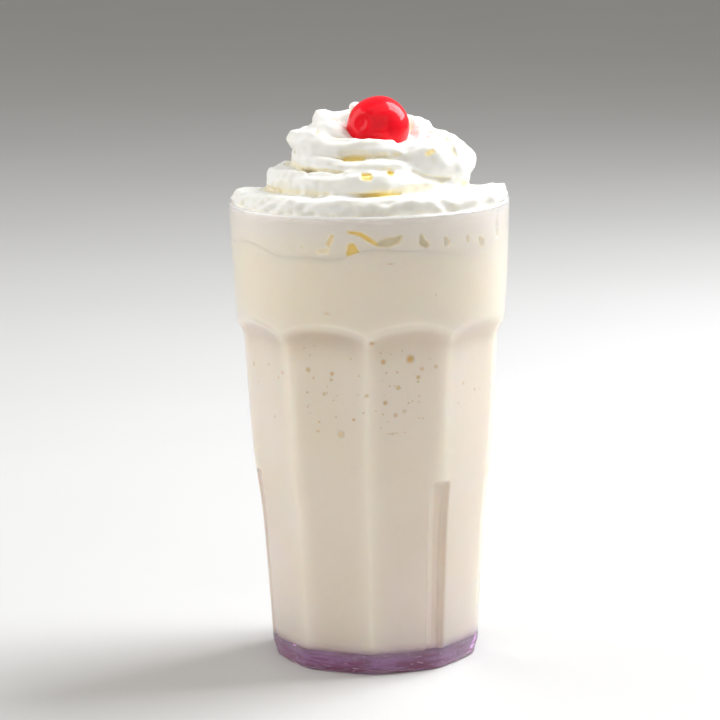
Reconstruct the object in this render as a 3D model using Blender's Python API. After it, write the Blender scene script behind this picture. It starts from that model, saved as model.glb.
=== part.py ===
"""A coconut smoothie in a fluted plastic tumbler, topped with piped whipped cream and a cherry.

Four closed solids in metres, +Z up, with the origin at the middle of the tumbler's underside:

* tumbler: a round collar over nine flat panels, three stacking ribs inside, a thick floor
* smoothie: the drink, which fills the tumbler up to the cream
* whipped_cream: the layer that closes the mouth and the piped swirl that stands on it
* cherry: the pitted cherry, pressed into the swirl

Angles run from the front (-Y) towards +X. Lengths inside the shape functions are in metres.
"""

import math

import bmesh
import bpy
import numpy as np

MM = 0.001
GAP = 0.3 * MM

# ---- tumbler: driving dimensions -------------------------------------------------------------
TUMBLER_HEIGHT = 145.4 * MM
RIM_RADIUS = 44.0 * MM
RIM_ROUNDING = 0.8 * MM
RIM_WALL = 1.8 * MM
LIP_SHARE = 0.3
PANEL_WALL = 2.4 * MM
FLOOR_THICKNESS = 6.2 * MM
UNDERSIDE_RADIUS = 31.2 * MM
FLOOR_RING_RADIUS = 16.0 * MM

PANEL_COUNT = 9
FIRST_ARRIS_DEGREES = -2.6
STEPS_PER_PANEL = 6
OUTER_FLATNESS = 1.0
FOOT_FLATNESS = 0.65
FLATNESS_LOW = 25.0 * MM
FLATNESS_HIGH = 60.0 * MM

ARCH_CUSP_HEIGHT = 107.5 * MM
ARCH_RISE = 3.4 * MM
ARCH_FALLOFF = 2.2
SHOULDER_DROP_AT_ARRIS = 4.4 * MM
SHOULDER_DROP_AT_PANEL = 7.5 * MM
SHOULDER_INNER_LIFT = 0.8 * MM
SHOULDER_SHARES = (1.0, 0.62, 0.3, 0.0)

# Arris radius of the outer wall at a few heights, from the foot to the top of the panels, and
# the collar's radius from the arches to the rim.
PANEL_PROFILE = (
    (0.0 * MM, UNDERSIDE_RADIUS),
    (0.7 * MM, 32.1 * MM),
    (2.5 * MM, 32.5 * MM),
    (4.6 * MM, 33.2 * MM),
    (21.0 * MM, 34.1 * MM),
    (47.0 * MM, 35.9 * MM),
    (55.0 * MM, 36.9 * MM),
    (65.0 * MM, 38.2 * MM),
    (97.0 * MM, 40.2 * MM),
    (115.0 * MM, 41.2 * MM),
)
PANEL_TOP = 100.0 * MM
COLLAR_PROFILE = (
    (99.0 * MM, 41.6 * MM),
    (111.0 * MM, 42.4 * MM),
    (125.0 * MM, 43.2 * MM),
    (TUMBLER_HEIGHT, RIM_RADIUS),
)
COLLAR_MIDDLE = 125.0 * MM

# ---- stacking ribs on the inside of every third arris ----------------------------------------
RIB_EVERY = 3
RIB_FIRST_ARRIS = 1
RIB_TURN_DEGREES = -2.1
RIB_TOP = 60.6 * MM
RIB_ROUNDING_HEIGHT = 2.2 * MM
RIB_SHOULDER_DROP = 0.4 * MM
RIB_DEPTH = 2.4 * MM
RIB_FOOT_HALF_ANGLE = 5.8
RIB_CREST_HALF_ANGLE = 3.3
CAVITY_LEVELS = (
    47.0 * MM,
    RIB_TOP - RIB_ROUNDING_HEIGHT,
    RIB_TOP - RIB_SHOULDER_DROP,
    RIB_TOP,
    65.0 * MM,
    97.0 * MM,
)

# ---- drink and cream -------------------------------------------------------------------------
CREAM_LINE = 133.6 * MM
CREAM_LINE_WAVE = 1.6 * MM
CREAM_LINE_WAVES = 5
CREAM_LINE_PHASE = 0.8
CREAM_LINE_CALM_RADIUS = 30.0 * MM
CREAM_LIFT = 1.5 * GAP
DRINK_TOP_SHARES = (0.66, 0.33)

CREAM_COLUMNS = 60
CREAM_ROWS = 26
CREAM_ROW_CROWDING = 1.4
CREAM_FIRST_ROW_RISE = 0.8 * MM
CREAM_UNDER_RADII = (14.0 * MM, 27.0 * MM)
SWIRL_CENTRE = (1.0 * MM, 0.0, 141.0 * MM)
BED_TOP = 148.6 * MM
BED_BACK_DROP = 2.4 * MM
BED_LEDGE_RADIUS = 36.5 * MM
BED_LEDGE_DEPTH = 1.8 * MM
BED_LEDGE_THICKNESS = 3.4 * MM
CORE_TOP = 166.0 * MM
CORE_AXIS = 1.0 * MM
CORE_PROFILE = (
    (149.0 * MM, 24.0 * MM),
    (156.0 * MM, 20.0 * MM),
    (CORE_TOP, 7.0 * MM),
)
STRAND_RIDGES = 7
STRAND_RIDGE_DEPTH = 0.06
STRAND_TWIST = 1.4
STRAND_BLEND = 1.0 * MM
LUMP_BLEND = 2.0 * MM
SEARCH_REACH = 62.0 * MM
SEARCH_STEP = 0.2 * MM

# The piped strand, by turns of its spiral: it starts at the right, runs round by the front and
# climbs inwards. Each station holds the turn, the strand's distance from the axis, its height
# and its own radius.
STRAND_STATIONS = (
    (-0.25, 22.0 * MM, 152.0 * MM, 1.0 * MM),
    (0.00, 24.6 * MM, 154.0 * MM, 8.2 * MM),
    (0.25, 25.6 * MM, 155.2 * MM, 6.6 * MM),
    (0.50, 25.6 * MM, 153.2 * MM, 6.6 * MM),
    (0.75, 24.4 * MM, 154.6 * MM, 7.6 * MM),
    (1.00, 21.8 * MM, 158.8 * MM, 9.8 * MM),
    (1.25, 16.6 * MM, 161.8 * MM, 5.6 * MM),
    (1.50, 19.6 * MM, 164.0 * MM, 5.8 * MM),
    (1.75, 14.6 * MM, 165.8 * MM, 7.4 * MM),
    (2.00, 11.8 * MM, 164.6 * MM, 7.2 * MM),
    (2.25, 7.5 * MM, 162.5 * MM, 5.6 * MM),
    (2.50, 12.6 * MM, 170.2 * MM, 4.6 * MM),
    (2.75, 5.0 * MM, 170.6 * MM, 4.8 * MM),
    (3.00, 3.0 * MM, 168.0 * MM, 1.0 * MM),
)

# Rough lumps on the bed beside the swirl: angle, distance from the axis, height, radius.
BED_LUMPS = (
    (-98.0, 36.0 * MM, 147.2 * MM, 3.6 * MM),
    (-80.0, 37.5 * MM, 146.4 * MM, 3.8 * MM),
    (-62.0, 36.5 * MM, 146.0 * MM, 4.4 * MM),
    (-44.0, 36.5 * MM, 145.6 * MM, 4.4 * MM),
    (92.0, 37.0 * MM, 146.6 * MM, 3.6 * MM),
    (72.0, 38.0 * MM, 145.4 * MM, 3.6 * MM),
)

# ---- cherry ----------------------------------------------------------------------------------
CHERRY_CENTRE = (3.1 * MM, -5.0 * MM, 168.4 * MM)
CHERRY_RADIUS = 9.7 * MM
CHERRY_POCKET_MARGIN = 1.2 * MM
CHERRY_DIMPLE_DEPTH = 0.7 * MM
CHERRY_DIMPLE_RADIUS_DEGREES = 24.0
CHERRY_DIMPLE_TOWARDS = (-0.57, -0.79, 0.22)
CHERRY_COLUMNS = 20
CHERRY_ROWS = 12

# ---- edges sharper than these angles stay crisp ----------------------------------------------
FOOD_CREASE_DEGREES = 30.0
PANEL_CREASE_DEGREES = 16.0

# ---- finishes: base colour, roughness, metallic ----------------------------------------------
FINISHES = {
    "tinted_plastic": ((0.62, 0.55, 0.72, 1.0), 0.08, 0.0),
    "coconut_smoothie": ((0.72, 0.64, 0.54, 1.0), 0.45, 0.0),
    "whipped_cream": ((0.92, 0.90, 0.85, 1.0), 0.55, 0.0),
    "glazed_cherry": ((0.62, 0.01, 0.02, 1.0), 0.12, 0.0),
}


def clear_scene():
    """Remove every object that the file opens with."""
    for existing in list(bpy.data.objects):
        bpy.data.objects.remove(existing, do_unlink=True)


def make_material(name):
    """Return a Principled material with the named finish."""
    colour, roughness, metallic = FINISHES[name]
    material = bpy.data.materials.new(name)
    material.use_nodes = True
    shader = material.node_tree.nodes["Principled BSDF"]
    shader.inputs["Base Color"].default_value = colour
    shader.inputs["Roughness"].default_value = roughness
    shader.inputs["Metallic"].default_value = metallic
    return material


def loft(name, rings, first_pole, last_pole, material_name, crease_degrees=FOOD_CREASE_DEGREES):
    """Skin a stack of equal rings, close it at both poles and return the object.

    Every ring is an array of points in the same angular order. Edges that bend by more than
    crease_degrees are shown crisp.
    """
    mesh_builder = bmesh.new()
    loops = [[mesh_builder.verts.new(point) for point in ring] for ring in rings]
    count = len(loops[0])
    for lower, upper in zip(loops, loops[1:]):
        for i in range(count):
            j = (i + 1) % count
            mesh_builder.faces.new((lower[i], lower[j], upper[j], upper[i]))
    for pole_point, loop in ((first_pole, loops[0]), (last_pole, loops[-1])):
        pole = mesh_builder.verts.new(pole_point)
        for i in range(count):
            mesh_builder.faces.new((pole, loop[i], loop[(i + 1) % count]))
    bmesh.ops.recalc_face_normals(mesh_builder, faces=mesh_builder.faces)
    bmesh.ops.triangulate(mesh_builder, faces=mesh_builder.faces)
    mesh = bpy.data.meshes.new(name)
    mesh_builder.to_mesh(mesh)
    mesh_builder.free()
    mesh.shade_smooth()
    mesh.set_sharp_from_angle(angle=math.radians(crease_degrees))
    mesh.materials.append(make_material(material_name))
    piece = bpy.data.objects.new(name, mesh)
    bpy.context.collection.objects.link(piece)
    return piece


def ring_at(angles, radii, heights):
    """Return the points at these angles (radians from the front towards +X)."""
    ones = np.ones_like(angles)
    x = radii * np.sin(angles)
    y = -radii * np.cos(angles)
    return np.stack([x * ones, y * ones, heights * ones], axis=1)


def smooth_step(value, low, high):
    """Return 0 below low, 1 above high, and an eased value between them."""
    t = np.clip((value - low) / (high - low), 0.0, 1.0)
    return t * t * (3.0 - 2.0 * t)


def read_profile(profile, heights):
    """Return the profile's radius at these heights."""
    return np.interp(heights, [z for z, _ in profile], [r for _, r in profile])


# ---- tumbler and the drink inside it ---------------------------------------------------------

def rib_degrees():
    """Return the angles of the stacking ribs, each beside its own arris."""
    panel = 360.0 / PANEL_COUNT
    indices = range(RIB_FIRST_ARRIS, PANEL_COUNT, RIB_EVERY)
    return [FIRST_ARRIS_DEGREES + index * panel + RIB_TURN_DEGREES for index in indices]


def wall_columns():
    """Return the column angles round the wall, in radians, with extra ones at the ribs."""
    count = PANEL_COUNT * STEPS_PER_PANEL
    degrees = [FIRST_ARRIS_DEGREES + step * 360.0 / count for step in range(count)]
    for rib in rib_degrees():
        for offset in (RIB_CREST_HALF_ANGLE, RIB_FOOT_HALF_ANGLE):
            degrees += [rib - offset, rib + offset]
    return np.radians(np.array(sorted(degrees)))


def from_panel_middle(angles):
    """Return each angle's distance from the middle of its panel, from -1 to 1 at the arrises."""
    panel = 2.0 * math.pi / PANEL_COUNT
    turned = (angles - math.radians(FIRST_ARRIS_DEGREES)) / panel
    return 2.0 * (turned - np.floor(turned)) - 1.0


def flat_factor(angles, flatness):
    """Return how much a flat panel lies inside the circle through its arrises, as a factor."""
    half = math.pi / PANEL_COUNT
    middle = from_panel_middle(angles) * half
    return 1.0 - flatness * (1.0 - math.cos(half) / np.cos(middle))


def arch_height(angles):
    """Return the height of the arched line where the panels meet the collar."""
    return ARCH_CUSP_HEIGHT + ARCH_RISE * (1.0 - np.abs(from_panel_middle(angles)) ** ARCH_FALLOFF)


def shoulder_drop(angles):
    """Return how far the sloped shoulder runs down from the arched line."""
    at_arris = np.abs(from_panel_middle(angles)) ** ARCH_FALLOFF
    return SHOULDER_DROP_AT_PANEL + (SHOULDER_DROP_AT_ARRIS - SHOULDER_DROP_AT_PANEL) * at_arris


def panel_radius(angles, heights):
    """Return the outer radius of the panelled part of the wall."""
    eased = smooth_step(heights, FLATNESS_LOW, FLATNESS_HIGH)
    flatness = FOOT_FLATNESS + (OUTER_FLATNESS - FOOT_FLATNESS) * eased
    return read_profile(PANEL_PROFILE, heights) * flat_factor(angles, flatness)


def outer_radius(angles, heights):
    """Return the wall's outer radius: panels below the arches, a round collar above."""
    top = arch_height(angles)
    share = smooth_step(heights, top - shoulder_drop(angles), top)
    below = panel_radius(angles, heights)
    return below + (read_profile(COLLAR_PROFILE, heights) - below) * share


def inner_radius(angles, heights):
    """Return the cavity's radius, without the stacking ribs: the outer form, a wall inside it."""
    top = arch_height(angles) + SHOULDER_INNER_LIFT
    share = smooth_step(heights, top - shoulder_drop(angles), top)
    below = (read_profile(PANEL_PROFILE, heights) - PANEL_WALL) * flat_factor(angles, OUTER_FLATNESS)
    above = read_profile(COLLAR_PROFILE, heights) - RIM_WALL
    return below + (above - below) * share


def rib_relief(angles, heights):
    """Return how far the stacking ribs stand in from the cavity's wall."""
    below_top = np.clip((RIB_TOP - heights) / RIB_ROUNDING_HEIGHT, 0.0, 1.0)
    relief = np.zeros_like(angles)
    for rib in rib_degrees():
        away = np.abs((np.degrees(angles) - rib + 180.0) % 360.0 - 180.0)
        slope = (RIB_FOOT_HALF_ANGLE - away) / (RIB_FOOT_HALF_ANGLE - RIB_CREST_HALF_ANGLE)
        relief = np.maximum(relief, RIB_DEPTH * np.sqrt(below_top) * np.clip(slope, 0.0, 1.0))
    return relief


def cavity_levels(angles, bottom, top):
    """Return the levels at which the cavity's wall bends, as one height for each column."""
    ones = np.ones_like(angles)
    levels = [height * ones for height in (bottom, *CAVITY_LEVELS)]
    arch = arch_height(angles) + SHOULDER_INNER_LIFT
    levels += [arch - share * shoulder_drop(angles) for share in SHOULDER_SHARES]
    levels += [COLLAR_MIDDLE * ones, top * ones]
    return levels


def cavity_rings(angles, levels, clearance):
    """Return the rings along the cavity's wall at these levels, drawn in by a clearance."""
    rings = []
    for level in levels:
        radii = inner_radius(angles, level) - rib_relief(angles, level) - clearance
        rings.append(ring_at(angles, radii, level))
    return rings


def build_tumbler():
    """Build the tumbler from its underside, up the outer wall, over the rim and down inside."""
    angles = wall_columns()
    ones = np.ones_like(angles)
    rings = [ring_at(angles, FLOOR_RING_RADIUS * ones, 0.0)]
    levels = [height * ones for height, _ in PANEL_PROFILE if height < PANEL_TOP]
    levels += [arch_height(angles) - share * shoulder_drop(angles) for share in SHOULDER_SHARES]
    levels.append(COLLAR_MIDDLE * ones)
    for level in levels:
        rings.append(ring_at(angles, outer_radius(angles, level), level))
    rim_middle = TUMBLER_HEIGHT - RIM_ROUNDING
    for turn in (0.0, 45.0, 90.0):
        radius = RIM_RADIUS - RIM_ROUNDING * (1.0 - math.cos(math.radians(turn)))
        height = rim_middle + RIM_ROUNDING * math.sin(math.radians(turn))
        rings.append(ring_at(angles, radius * ones, height))
    lip = LIP_SHARE * RIM_ROUNDING
    rings.append(ring_at(angles, (RIM_RADIUS - RIM_WALL + lip) * ones, TUMBLER_HEIGHT - lip))
    levels = cavity_levels(angles, FLOOR_THICKNESS, rim_middle)
    rings += reversed(cavity_rings(angles, levels, 0.0))
    rings.append(ring_at(angles, FLOOR_RING_RADIUS * ones, FLOOR_THICKNESS))
    poles = ((0.0, 0.0, 0.0), (0.0, 0.0, FLOOR_THICKNESS))
    return loft("tumbler", rings, *poles, "tinted_plastic", PANEL_CREASE_DEGREES)


def cream_line(angles, radii):
    """Return the wavy height at which the drink ends and the cream begins."""
    wave = np.sin(CREAM_LINE_WAVES * angles + CREAM_LINE_PHASE)
    return CREAM_LINE + CREAM_LINE_WAVE * wave * smooth_step(radii, 0.0, CREAM_LINE_CALM_RADIUS)


def build_smoothie():
    """Build the drink: the cavity's shape, a gap in from the wall, up to the wavy cream line."""
    angles = wall_columns()
    ones = np.ones_like(angles)
    bottom = FLOOR_THICKNESS + GAP
    rings = [ring_at(angles, FLOOR_RING_RADIUS * ones, bottom)]
    rings += cavity_rings(angles, cavity_levels(angles, bottom, CREAM_LINE)[:-1], GAP)
    edge_height = cream_line(angles, RIM_RADIUS * ones)
    edge_radius = inner_radius(angles, edge_height) - GAP
    rings.append(ring_at(angles, edge_radius, edge_height))
    for share in DRINK_TOP_SHARES:
        radii = share * edge_radius
        rings.append(ring_at(angles, radii, cream_line(angles, radii)))
    return loft("smoothie", rings, (0.0, 0.0, bottom), (0.0, 0.0, CREAM_LINE), "coconut_smoothie")


# ---- whipped cream ---------------------------------------------------------------------------

def strand_values(turns):
    """Return the strand's path radius, height and own radius at these turns.

    The stations are joined by Catmull-Rom curves, so that the strand bends smoothly.
    """
    stations = np.array(STRAND_STATIONS)
    spacing = stations[1, 0] - stations[0, 0]
    place = np.clip((turns - stations[0, 0]) / spacing, 0.0, len(stations) - 1.0001)
    index = place.astype(int)
    t = (place - index)[..., None]
    last = len(stations) - 1
    p0, p1, p2, p3 = (stations[np.clip(index + k, 0, last), 1:] for k in (-1, 0, 1, 2))
    values = 0.5 * (
        2.0 * p1
        + (p2 - p0) * t
        + (2.0 * p0 - 5.0 * p1 + 4.0 * p2 - p3) * t**2
        + (3.0 * p1 - p0 - 3.0 * p2 + p3) * t**3
    )
    return values[..., 0], values[..., 1], values[..., 2]


def smooth_union(first, second, blend):
    """Join two distance fields with a soft crease of the given width."""
    share = np.clip(0.5 + 0.5 * (second - first) / blend, 0.0, 1.0)
    return second + (first - second) * share - blend * share * (1.0 - share)


def strand_distance(points, turn_floor):
    """Return the distance from points to one full turn of the piped strand."""
    x, y, z = points[..., 0], points[..., 1], points[..., 2]
    turns = turn_floor + np.mod(-np.arctan2(y, x) / (2.0 * math.pi), 1.0)
    path_radius, height, own_radius = strand_values(turns)
    outward = np.hypot(x, y) - path_radius
    upward = z - height
    around = np.arctan2(upward, outward) + 2.0 * math.pi * STRAND_TWIST * turns
    ridged = own_radius * (1.0 + STRAND_RIDGE_DEPTH * np.cos(STRAND_RIDGES * around))
    distance = np.hypot(outward, upward) - ridged
    outside = (turns < STRAND_STATIONS[0][0]) | (turns > STRAND_STATIONS[-1][0])
    return np.where(outside, SEARCH_REACH, distance)


def bed_distance(points):
    """Return the distance to the layer that closes the mouth, with the ledge near its edge."""
    x, y, z = points[..., 0], points[..., 1], points[..., 2]
    radius = np.hypot(x, y)
    top = BED_TOP - BED_BACK_DROP * smooth_step(y / np.maximum(radius, MM), 0.0, 0.5)
    slab = z - top
    ledge = np.hypot(radius - BED_LEDGE_RADIUS, z - (top - BED_LEDGE_DEPTH)) - BED_LEDGE_THICKNESS
    bed = smooth_union(slab, ledge, LUMP_BLEND)
    for degrees, distance, height, own_radius in BED_LUMPS:
        angle = math.radians(degrees)
        centre = np.array([distance * math.sin(angle), -distance * math.cos(angle), height])
        lump = np.linalg.norm(points - centre, axis=-1) - own_radius
        bed = smooth_union(bed, lump, LUMP_BLEND)
    return bed


def core_distance(points):
    """Return the distance to the rounded cone that fills the middle of the swirl."""
    x, y, z = points[..., 0], points[..., 1], points[..., 2]
    allowed = read_profile(CORE_PROFILE, z)
    return np.maximum(np.hypot(x - CORE_AXIS, y) - allowed, z - CORE_TOP)


def cream_distance(points):
    """Return the distance field of the whole cream: negative inside it."""
    field = smooth_union(core_distance(points), bed_distance(points), LUMP_BLEND)
    for turn_floor in range(-1, 3):
        field = smooth_union(field, strand_distance(points, turn_floor), STRAND_BLEND)
    pocket = CHERRY_RADIUS + GAP - np.linalg.norm(points - np.array(CHERRY_CENTRE), axis=-1)
    field = np.maximum(field, pocket)
    edge = RIM_RADIUS - RIM_WALL - GAP
    return np.maximum(field, np.hypot(points[..., 0], points[..., 1]) - edge)


def pocket_limit(directions):
    """Return how far rays from the swirl's centre may run before they meet the cherry's pocket."""
    to_cherry = np.array(CHERRY_CENTRE) - np.array(SWIRL_CENTRE)
    along = directions @ to_cherry
    beside = np.sqrt(np.maximum(to_cherry @ to_cherry - along**2, 0.0))
    pocket = CHERRY_RADIUS + GAP
    near_side = along - np.sqrt(np.maximum(pocket**2 - beside**2, 0.0))
    return np.where(beside < pocket + CHERRY_POCKET_MARGIN, near_side, SEARCH_REACH)


def surface_along(directions):
    """Return the outermost cream surface point along rays from the swirl's centre."""
    centre = np.array(SWIRL_CENTRE)
    limit = pocket_limit(directions)
    reach = np.arange(SEARCH_REACH, 0.0, -SEARCH_STEP)
    found = np.full(directions.shape[0], SEARCH_STEP)
    open_rays = np.ones(directions.shape[0], dtype=bool)
    previous = np.full(directions.shape[0], SEARCH_REACH)
    for distance in reach:
        values = cream_distance(centre + directions * distance)
        hit = open_rays & (values < 0.0)
        share = previous[hit] / (previous[hit] - values[hit])
        found[hit] = distance + SEARCH_STEP * (1.0 - share)
        open_rays &= ~hit
        previous = values
    return centre + directions * np.minimum(found, limit)[:, None]


def build_cream():
    """Build the cream: the wavy underside, the edge along the wall, then the swirl by rays."""
    angles = np.linspace(0.0, 2.0 * math.pi, CREAM_COLUMNS, endpoint=False)
    ones = np.ones_like(angles)
    rings = []
    for radius in CREAM_UNDER_RADII:
        rings.append(ring_at(angles, radius * ones, cream_line(angles, radius * ones) + CREAM_LIFT))
    edge_height = cream_line(angles, RIM_RADIUS * ones) + CREAM_LIFT
    rings.append(ring_at(angles, inner_radius(angles, edge_height) - GAP, edge_height))
    edge = (RIM_RADIUS - RIM_WALL - GAP) * ones
    rings.append(ring_at(angles, edge, TUMBLER_HEIGHT))
    first_row = math.atan2(TUMBLER_HEIGHT + CREAM_FIRST_ROW_RISE - SWIRL_CENTRE[2], edge[0])
    for row in range(CREAM_ROWS):
        share = (row / CREAM_ROWS) ** CREAM_ROW_CROWDING
        rise = first_row + (0.5 * math.pi - first_row) * share
        directions = np.stack(
            [np.sin(angles) * math.cos(rise), -np.cos(angles) * math.cos(rise), math.sin(rise) * ones],
            axis=1,
        )
        rings.append(surface_along(directions))
    crown = surface_along(np.array([[0.0, 0.0, 1.0]]))[0]
    return loft("whipped_cream", rings, (0.0, 0.0, CREAM_LINE + CREAM_LIFT), crown, "whipped_cream")


# ---- cherry ----------------------------------------------------------------------------------

def build_cherry():
    """Build the cherry as rings round the axis of its pitting dimple."""
    towards = np.array(CHERRY_DIMPLE_TOWARDS)
    towards /= np.linalg.norm(towards)
    side = np.cross(towards, (0.0, 0.0, 1.0))
    side /= np.linalg.norm(side)
    up = np.cross(side, towards)
    centre = np.array(CHERRY_CENTRE)
    dimple = math.radians(CHERRY_DIMPLE_RADIUS_DEGREES)

    def own_radius(away):
        return CHERRY_RADIUS - CHERRY_DIMPLE_DEPTH * (1.0 - smooth_step(away, 0.0, dimple))

    turns = np.linspace(0.0, 2.0 * math.pi, CHERRY_COLUMNS, endpoint=False)
    rings = []
    for row in range(1, CHERRY_ROWS):
        away = math.pi * row / CHERRY_ROWS
        radius = float(own_radius(away))
        around = np.cos(turns)[:, None] * side + np.sin(turns)[:, None] * up
        rings.append(centre + radius * (math.cos(away) * towards + math.sin(away) * around))
    near_pole = centre + float(own_radius(0.0)) * towards
    far_pole = centre - CHERRY_RADIUS * towards
    return loft("cherry", rings, near_pole, far_pole, "glazed_cherry")


def main():
    """Build the four solids."""
    clear_scene()
    build_tumbler()
    build_smoothie()
    build_cream()
    build_cherry()


main()
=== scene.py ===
"""Finish of a coconut smoothie in a fluted tumbler, with whipped cream and a cherry.

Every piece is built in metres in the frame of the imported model: +Z is up, the front faces -Y,
and the origin is the middle of the tumbler's underside. Angles round the tumbler are degrees
from the front towards +X.
"""

import logging
import math
from dataclasses import dataclass, field
from enum import Enum
from typing import Any, Callable, Iterable, Sequence

import bpy
import numpy as np
from mathutils import Matrix, Vector


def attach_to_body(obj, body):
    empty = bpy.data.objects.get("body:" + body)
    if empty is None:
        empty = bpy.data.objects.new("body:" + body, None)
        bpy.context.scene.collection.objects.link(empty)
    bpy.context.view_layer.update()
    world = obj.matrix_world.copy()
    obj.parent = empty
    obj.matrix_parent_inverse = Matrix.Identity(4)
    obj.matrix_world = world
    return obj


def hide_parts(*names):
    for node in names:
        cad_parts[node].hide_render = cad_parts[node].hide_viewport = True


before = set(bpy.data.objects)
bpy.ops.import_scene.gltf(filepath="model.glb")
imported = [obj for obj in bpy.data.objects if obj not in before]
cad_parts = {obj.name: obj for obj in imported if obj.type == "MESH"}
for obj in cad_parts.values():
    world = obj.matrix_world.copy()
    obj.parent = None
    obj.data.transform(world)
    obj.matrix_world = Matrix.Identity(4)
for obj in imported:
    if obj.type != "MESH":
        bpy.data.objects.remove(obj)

MM = 0.001
FAR = 1.0  # a distance in metres beyond every piece
LOG = logging.getLogger("smoothie")

Array = np.ndarray
Pair = tuple[float, float]
Triple = tuple[float, float, float]
Colour = Triple
Faces = list[list[int]]


class Body(Enum):
    """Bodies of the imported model."""

    ROOT = "root"


class Node(Enum):
    """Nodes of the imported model."""

    TUMBLER = "tumbler"
    SMOOTHIE = "smoothie"
    CREAM = "whipped_cream"
    CHERRY = "cherry"


class Slot(Enum):
    """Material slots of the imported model."""

    PLASTIC = "tinted_plastic"
    SMOOTHIE = "coconut_smoothie"
    CREAM = "whipped_cream"
    CHERRY = "glazed_cherry"


# ---- shared mathematics ----

def in_mm(*rows: tuple[float, ...]) -> tuple[tuple[float, ...], ...]:
    """Return rows of millimetres as rows of metres."""
    return tuple(tuple(value * MM for value in row) for row in rows)


def smooth_step(value: Array, low: float | Array, high: float | Array) -> Array:
    """Ease from 0 to 1 between two values.

    Args:
        value: Where to read the step.
        low: Value at and below which the result is 0.
        high: Value at and above which the result is 1.

    Returns:
        The eased share.
    """
    t = np.clip((value - low) / (high - low), 0.0, 1.0)
    return t * t * (3.0 - 2.0 * t)


def soft_union(first: Array, second: Array, blend: float) -> Array:
    """Join two distance fields with a rounded crease.

    Args:
        first: Distances to one shape.
        second: Distances to the other shape.
        blend: Width of the crease in metres.

    Returns:
        Distances to both shapes together.
    """
    share = np.clip(0.5 + 0.5 * (second - first) / blend, 0.0, 1.0)
    return second + (first - second) * share - blend * share * (1.0 - share)


def soft_cut(body: Array, cutter: Array, blend: float) -> Array:
    """Return what is left of one distance field when another is cut out with a rounded edge."""
    return -soft_union(-body, cutter, blend)


def quarter_arc(share: Array) -> Array:
    """Return the height of a quarter circle, which leaves 0 steeply and reaches 1 level."""
    return np.sqrt(1.0 - (1.0 - share) ** 2)


def smooth_curve(stations: Sequence[Pair], places: Array) -> Array:
    """Read a smooth curve without overshoot through a few stations.

    Args:
        stations: Pairs of place and value, in rising order of place.
        places: Where to read the curve.

    Returns:
        The curve's values.
    """
    x, y = np.array(stations).T
    slope = np.diff(y) / np.diff(x)
    tangent = np.concatenate([slope[:1], 0.5 * (slope[1:] + slope[:-1]), slope[-1:]])
    tangent[1:-1][slope[1:] * slope[:-1] <= 0.0] = 0.0
    limit = 3.0 * np.minimum(np.abs(np.append(slope, slope[-1])), np.abs(np.insert(slope, 0, slope[0])))
    tangent = np.clip(tangent, -limit, limit)
    index = np.clip(np.searchsorted(x, places, side="right") - 1, 0, len(x) - 2)
    span = x[index + 1] - x[index]
    t = np.clip((places - x[index]) / span, 0.0, 1.0)
    start = y[index] * (1.0 + 2.0 * t) * (1.0 - t) ** 2 + tangent[index] * span * t * (1.0 - t) ** 2
    end = y[index + 1] * t**2 * (3.0 - 2.0 * t) + tangent[index + 1] * span * t**2 * (t - 1.0)
    return start + end


@dataclass(frozen=True)
class Ripple:
    """Seeded smooth noise, made of a few waves that cross at random."""

    wavelength: float
    height: float
    seed: int
    waves: int = 7
    pitch_band: Pair = (0.7, 1.4)

    def at(self, points: Array) -> Array:
        """Read the noise.

        Args:
            points: Points in metres, with the coordinates on the last axis.

        Returns:
            One value for each point, mostly within plus and minus the height.
        """
        draw = np.random.default_rng(self.seed)
        total = np.zeros(points.shape[:-1])
        for _ in range(self.waves):
            direction = draw.normal(size=3)
            direction /= np.linalg.norm(direction)
            direction *= 2.0 * math.pi / self.wavelength * draw.uniform(*self.pitch_band)
            total += np.sin(points @ direction + draw.uniform(0.0, 2.0 * math.pi))
        return total * self.height / math.sqrt(self.waves)


# ---- camera ----

@dataclass(frozen=True)
class ViewPoint:
    """The camera's place, tilt and lens."""

    place: Triple = (-3.7 * MM, -1.060, 0.2855)
    pitch_degrees: float = 10.24
    roll_degrees: float = 0.96
    focal_pixels: float = 3411.0
    picture_pixels: float = 720.0
    sensor_mm: float = 36.0
    near_clip: float = 0.05

    def axes(self) -> tuple[Vector, Vector, Vector]:
        """Work out which way the picture faces.

        Returns:
            The picture's right, up and forward directions.
        """
        pitch = math.radians(self.pitch_degrees)
        roll = math.radians(self.roll_degrees)
        forward = Vector((0.0, math.cos(pitch), -math.sin(pitch)))
        level_up = Vector((0.0, math.sin(pitch), math.cos(pitch)))
        level_right = Vector((1.0, 0.0, 0.0))
        right = level_right * math.cos(roll) - level_up * math.sin(roll)
        up = level_up * math.cos(roll) + level_right * math.sin(roll)
        return right, up, forward

    def build(self) -> bpy.types.Object:
        """Add the camera to the scene.

        Returns:
            The camera.
        """
        camera_data = bpy.data.cameras.new("view")
        camera_data.sensor_width = self.sensor_mm
        camera_data.lens = self.focal_pixels / self.picture_pixels * self.sensor_mm
        camera_data.clip_start = self.near_clip
        camera = bpy.data.objects.new("view", camera_data)
        bpy.context.scene.collection.objects.link(camera)
        right, up, forward = self.axes()
        turned = Matrix((right, up, -forward)).transposed().to_4x4()
        camera.matrix_world = Matrix.Translation(self.place) @ turned
        bpy.context.scene.camera = camera
        return camera


# ---- shader building ----

@dataclass(frozen=True)
class Pattern:
    """A noise pattern, and the band of its values that is eased from 0 to 1.

    The size of a patch is in metres, and a larger scale along an axis makes it shorter there.
    """

    size: float
    detail: float = 3.0
    roughness: float = 0.5
    low: float = 0.0
    high: float = 1.0
    scale: Triple | None = None


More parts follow.
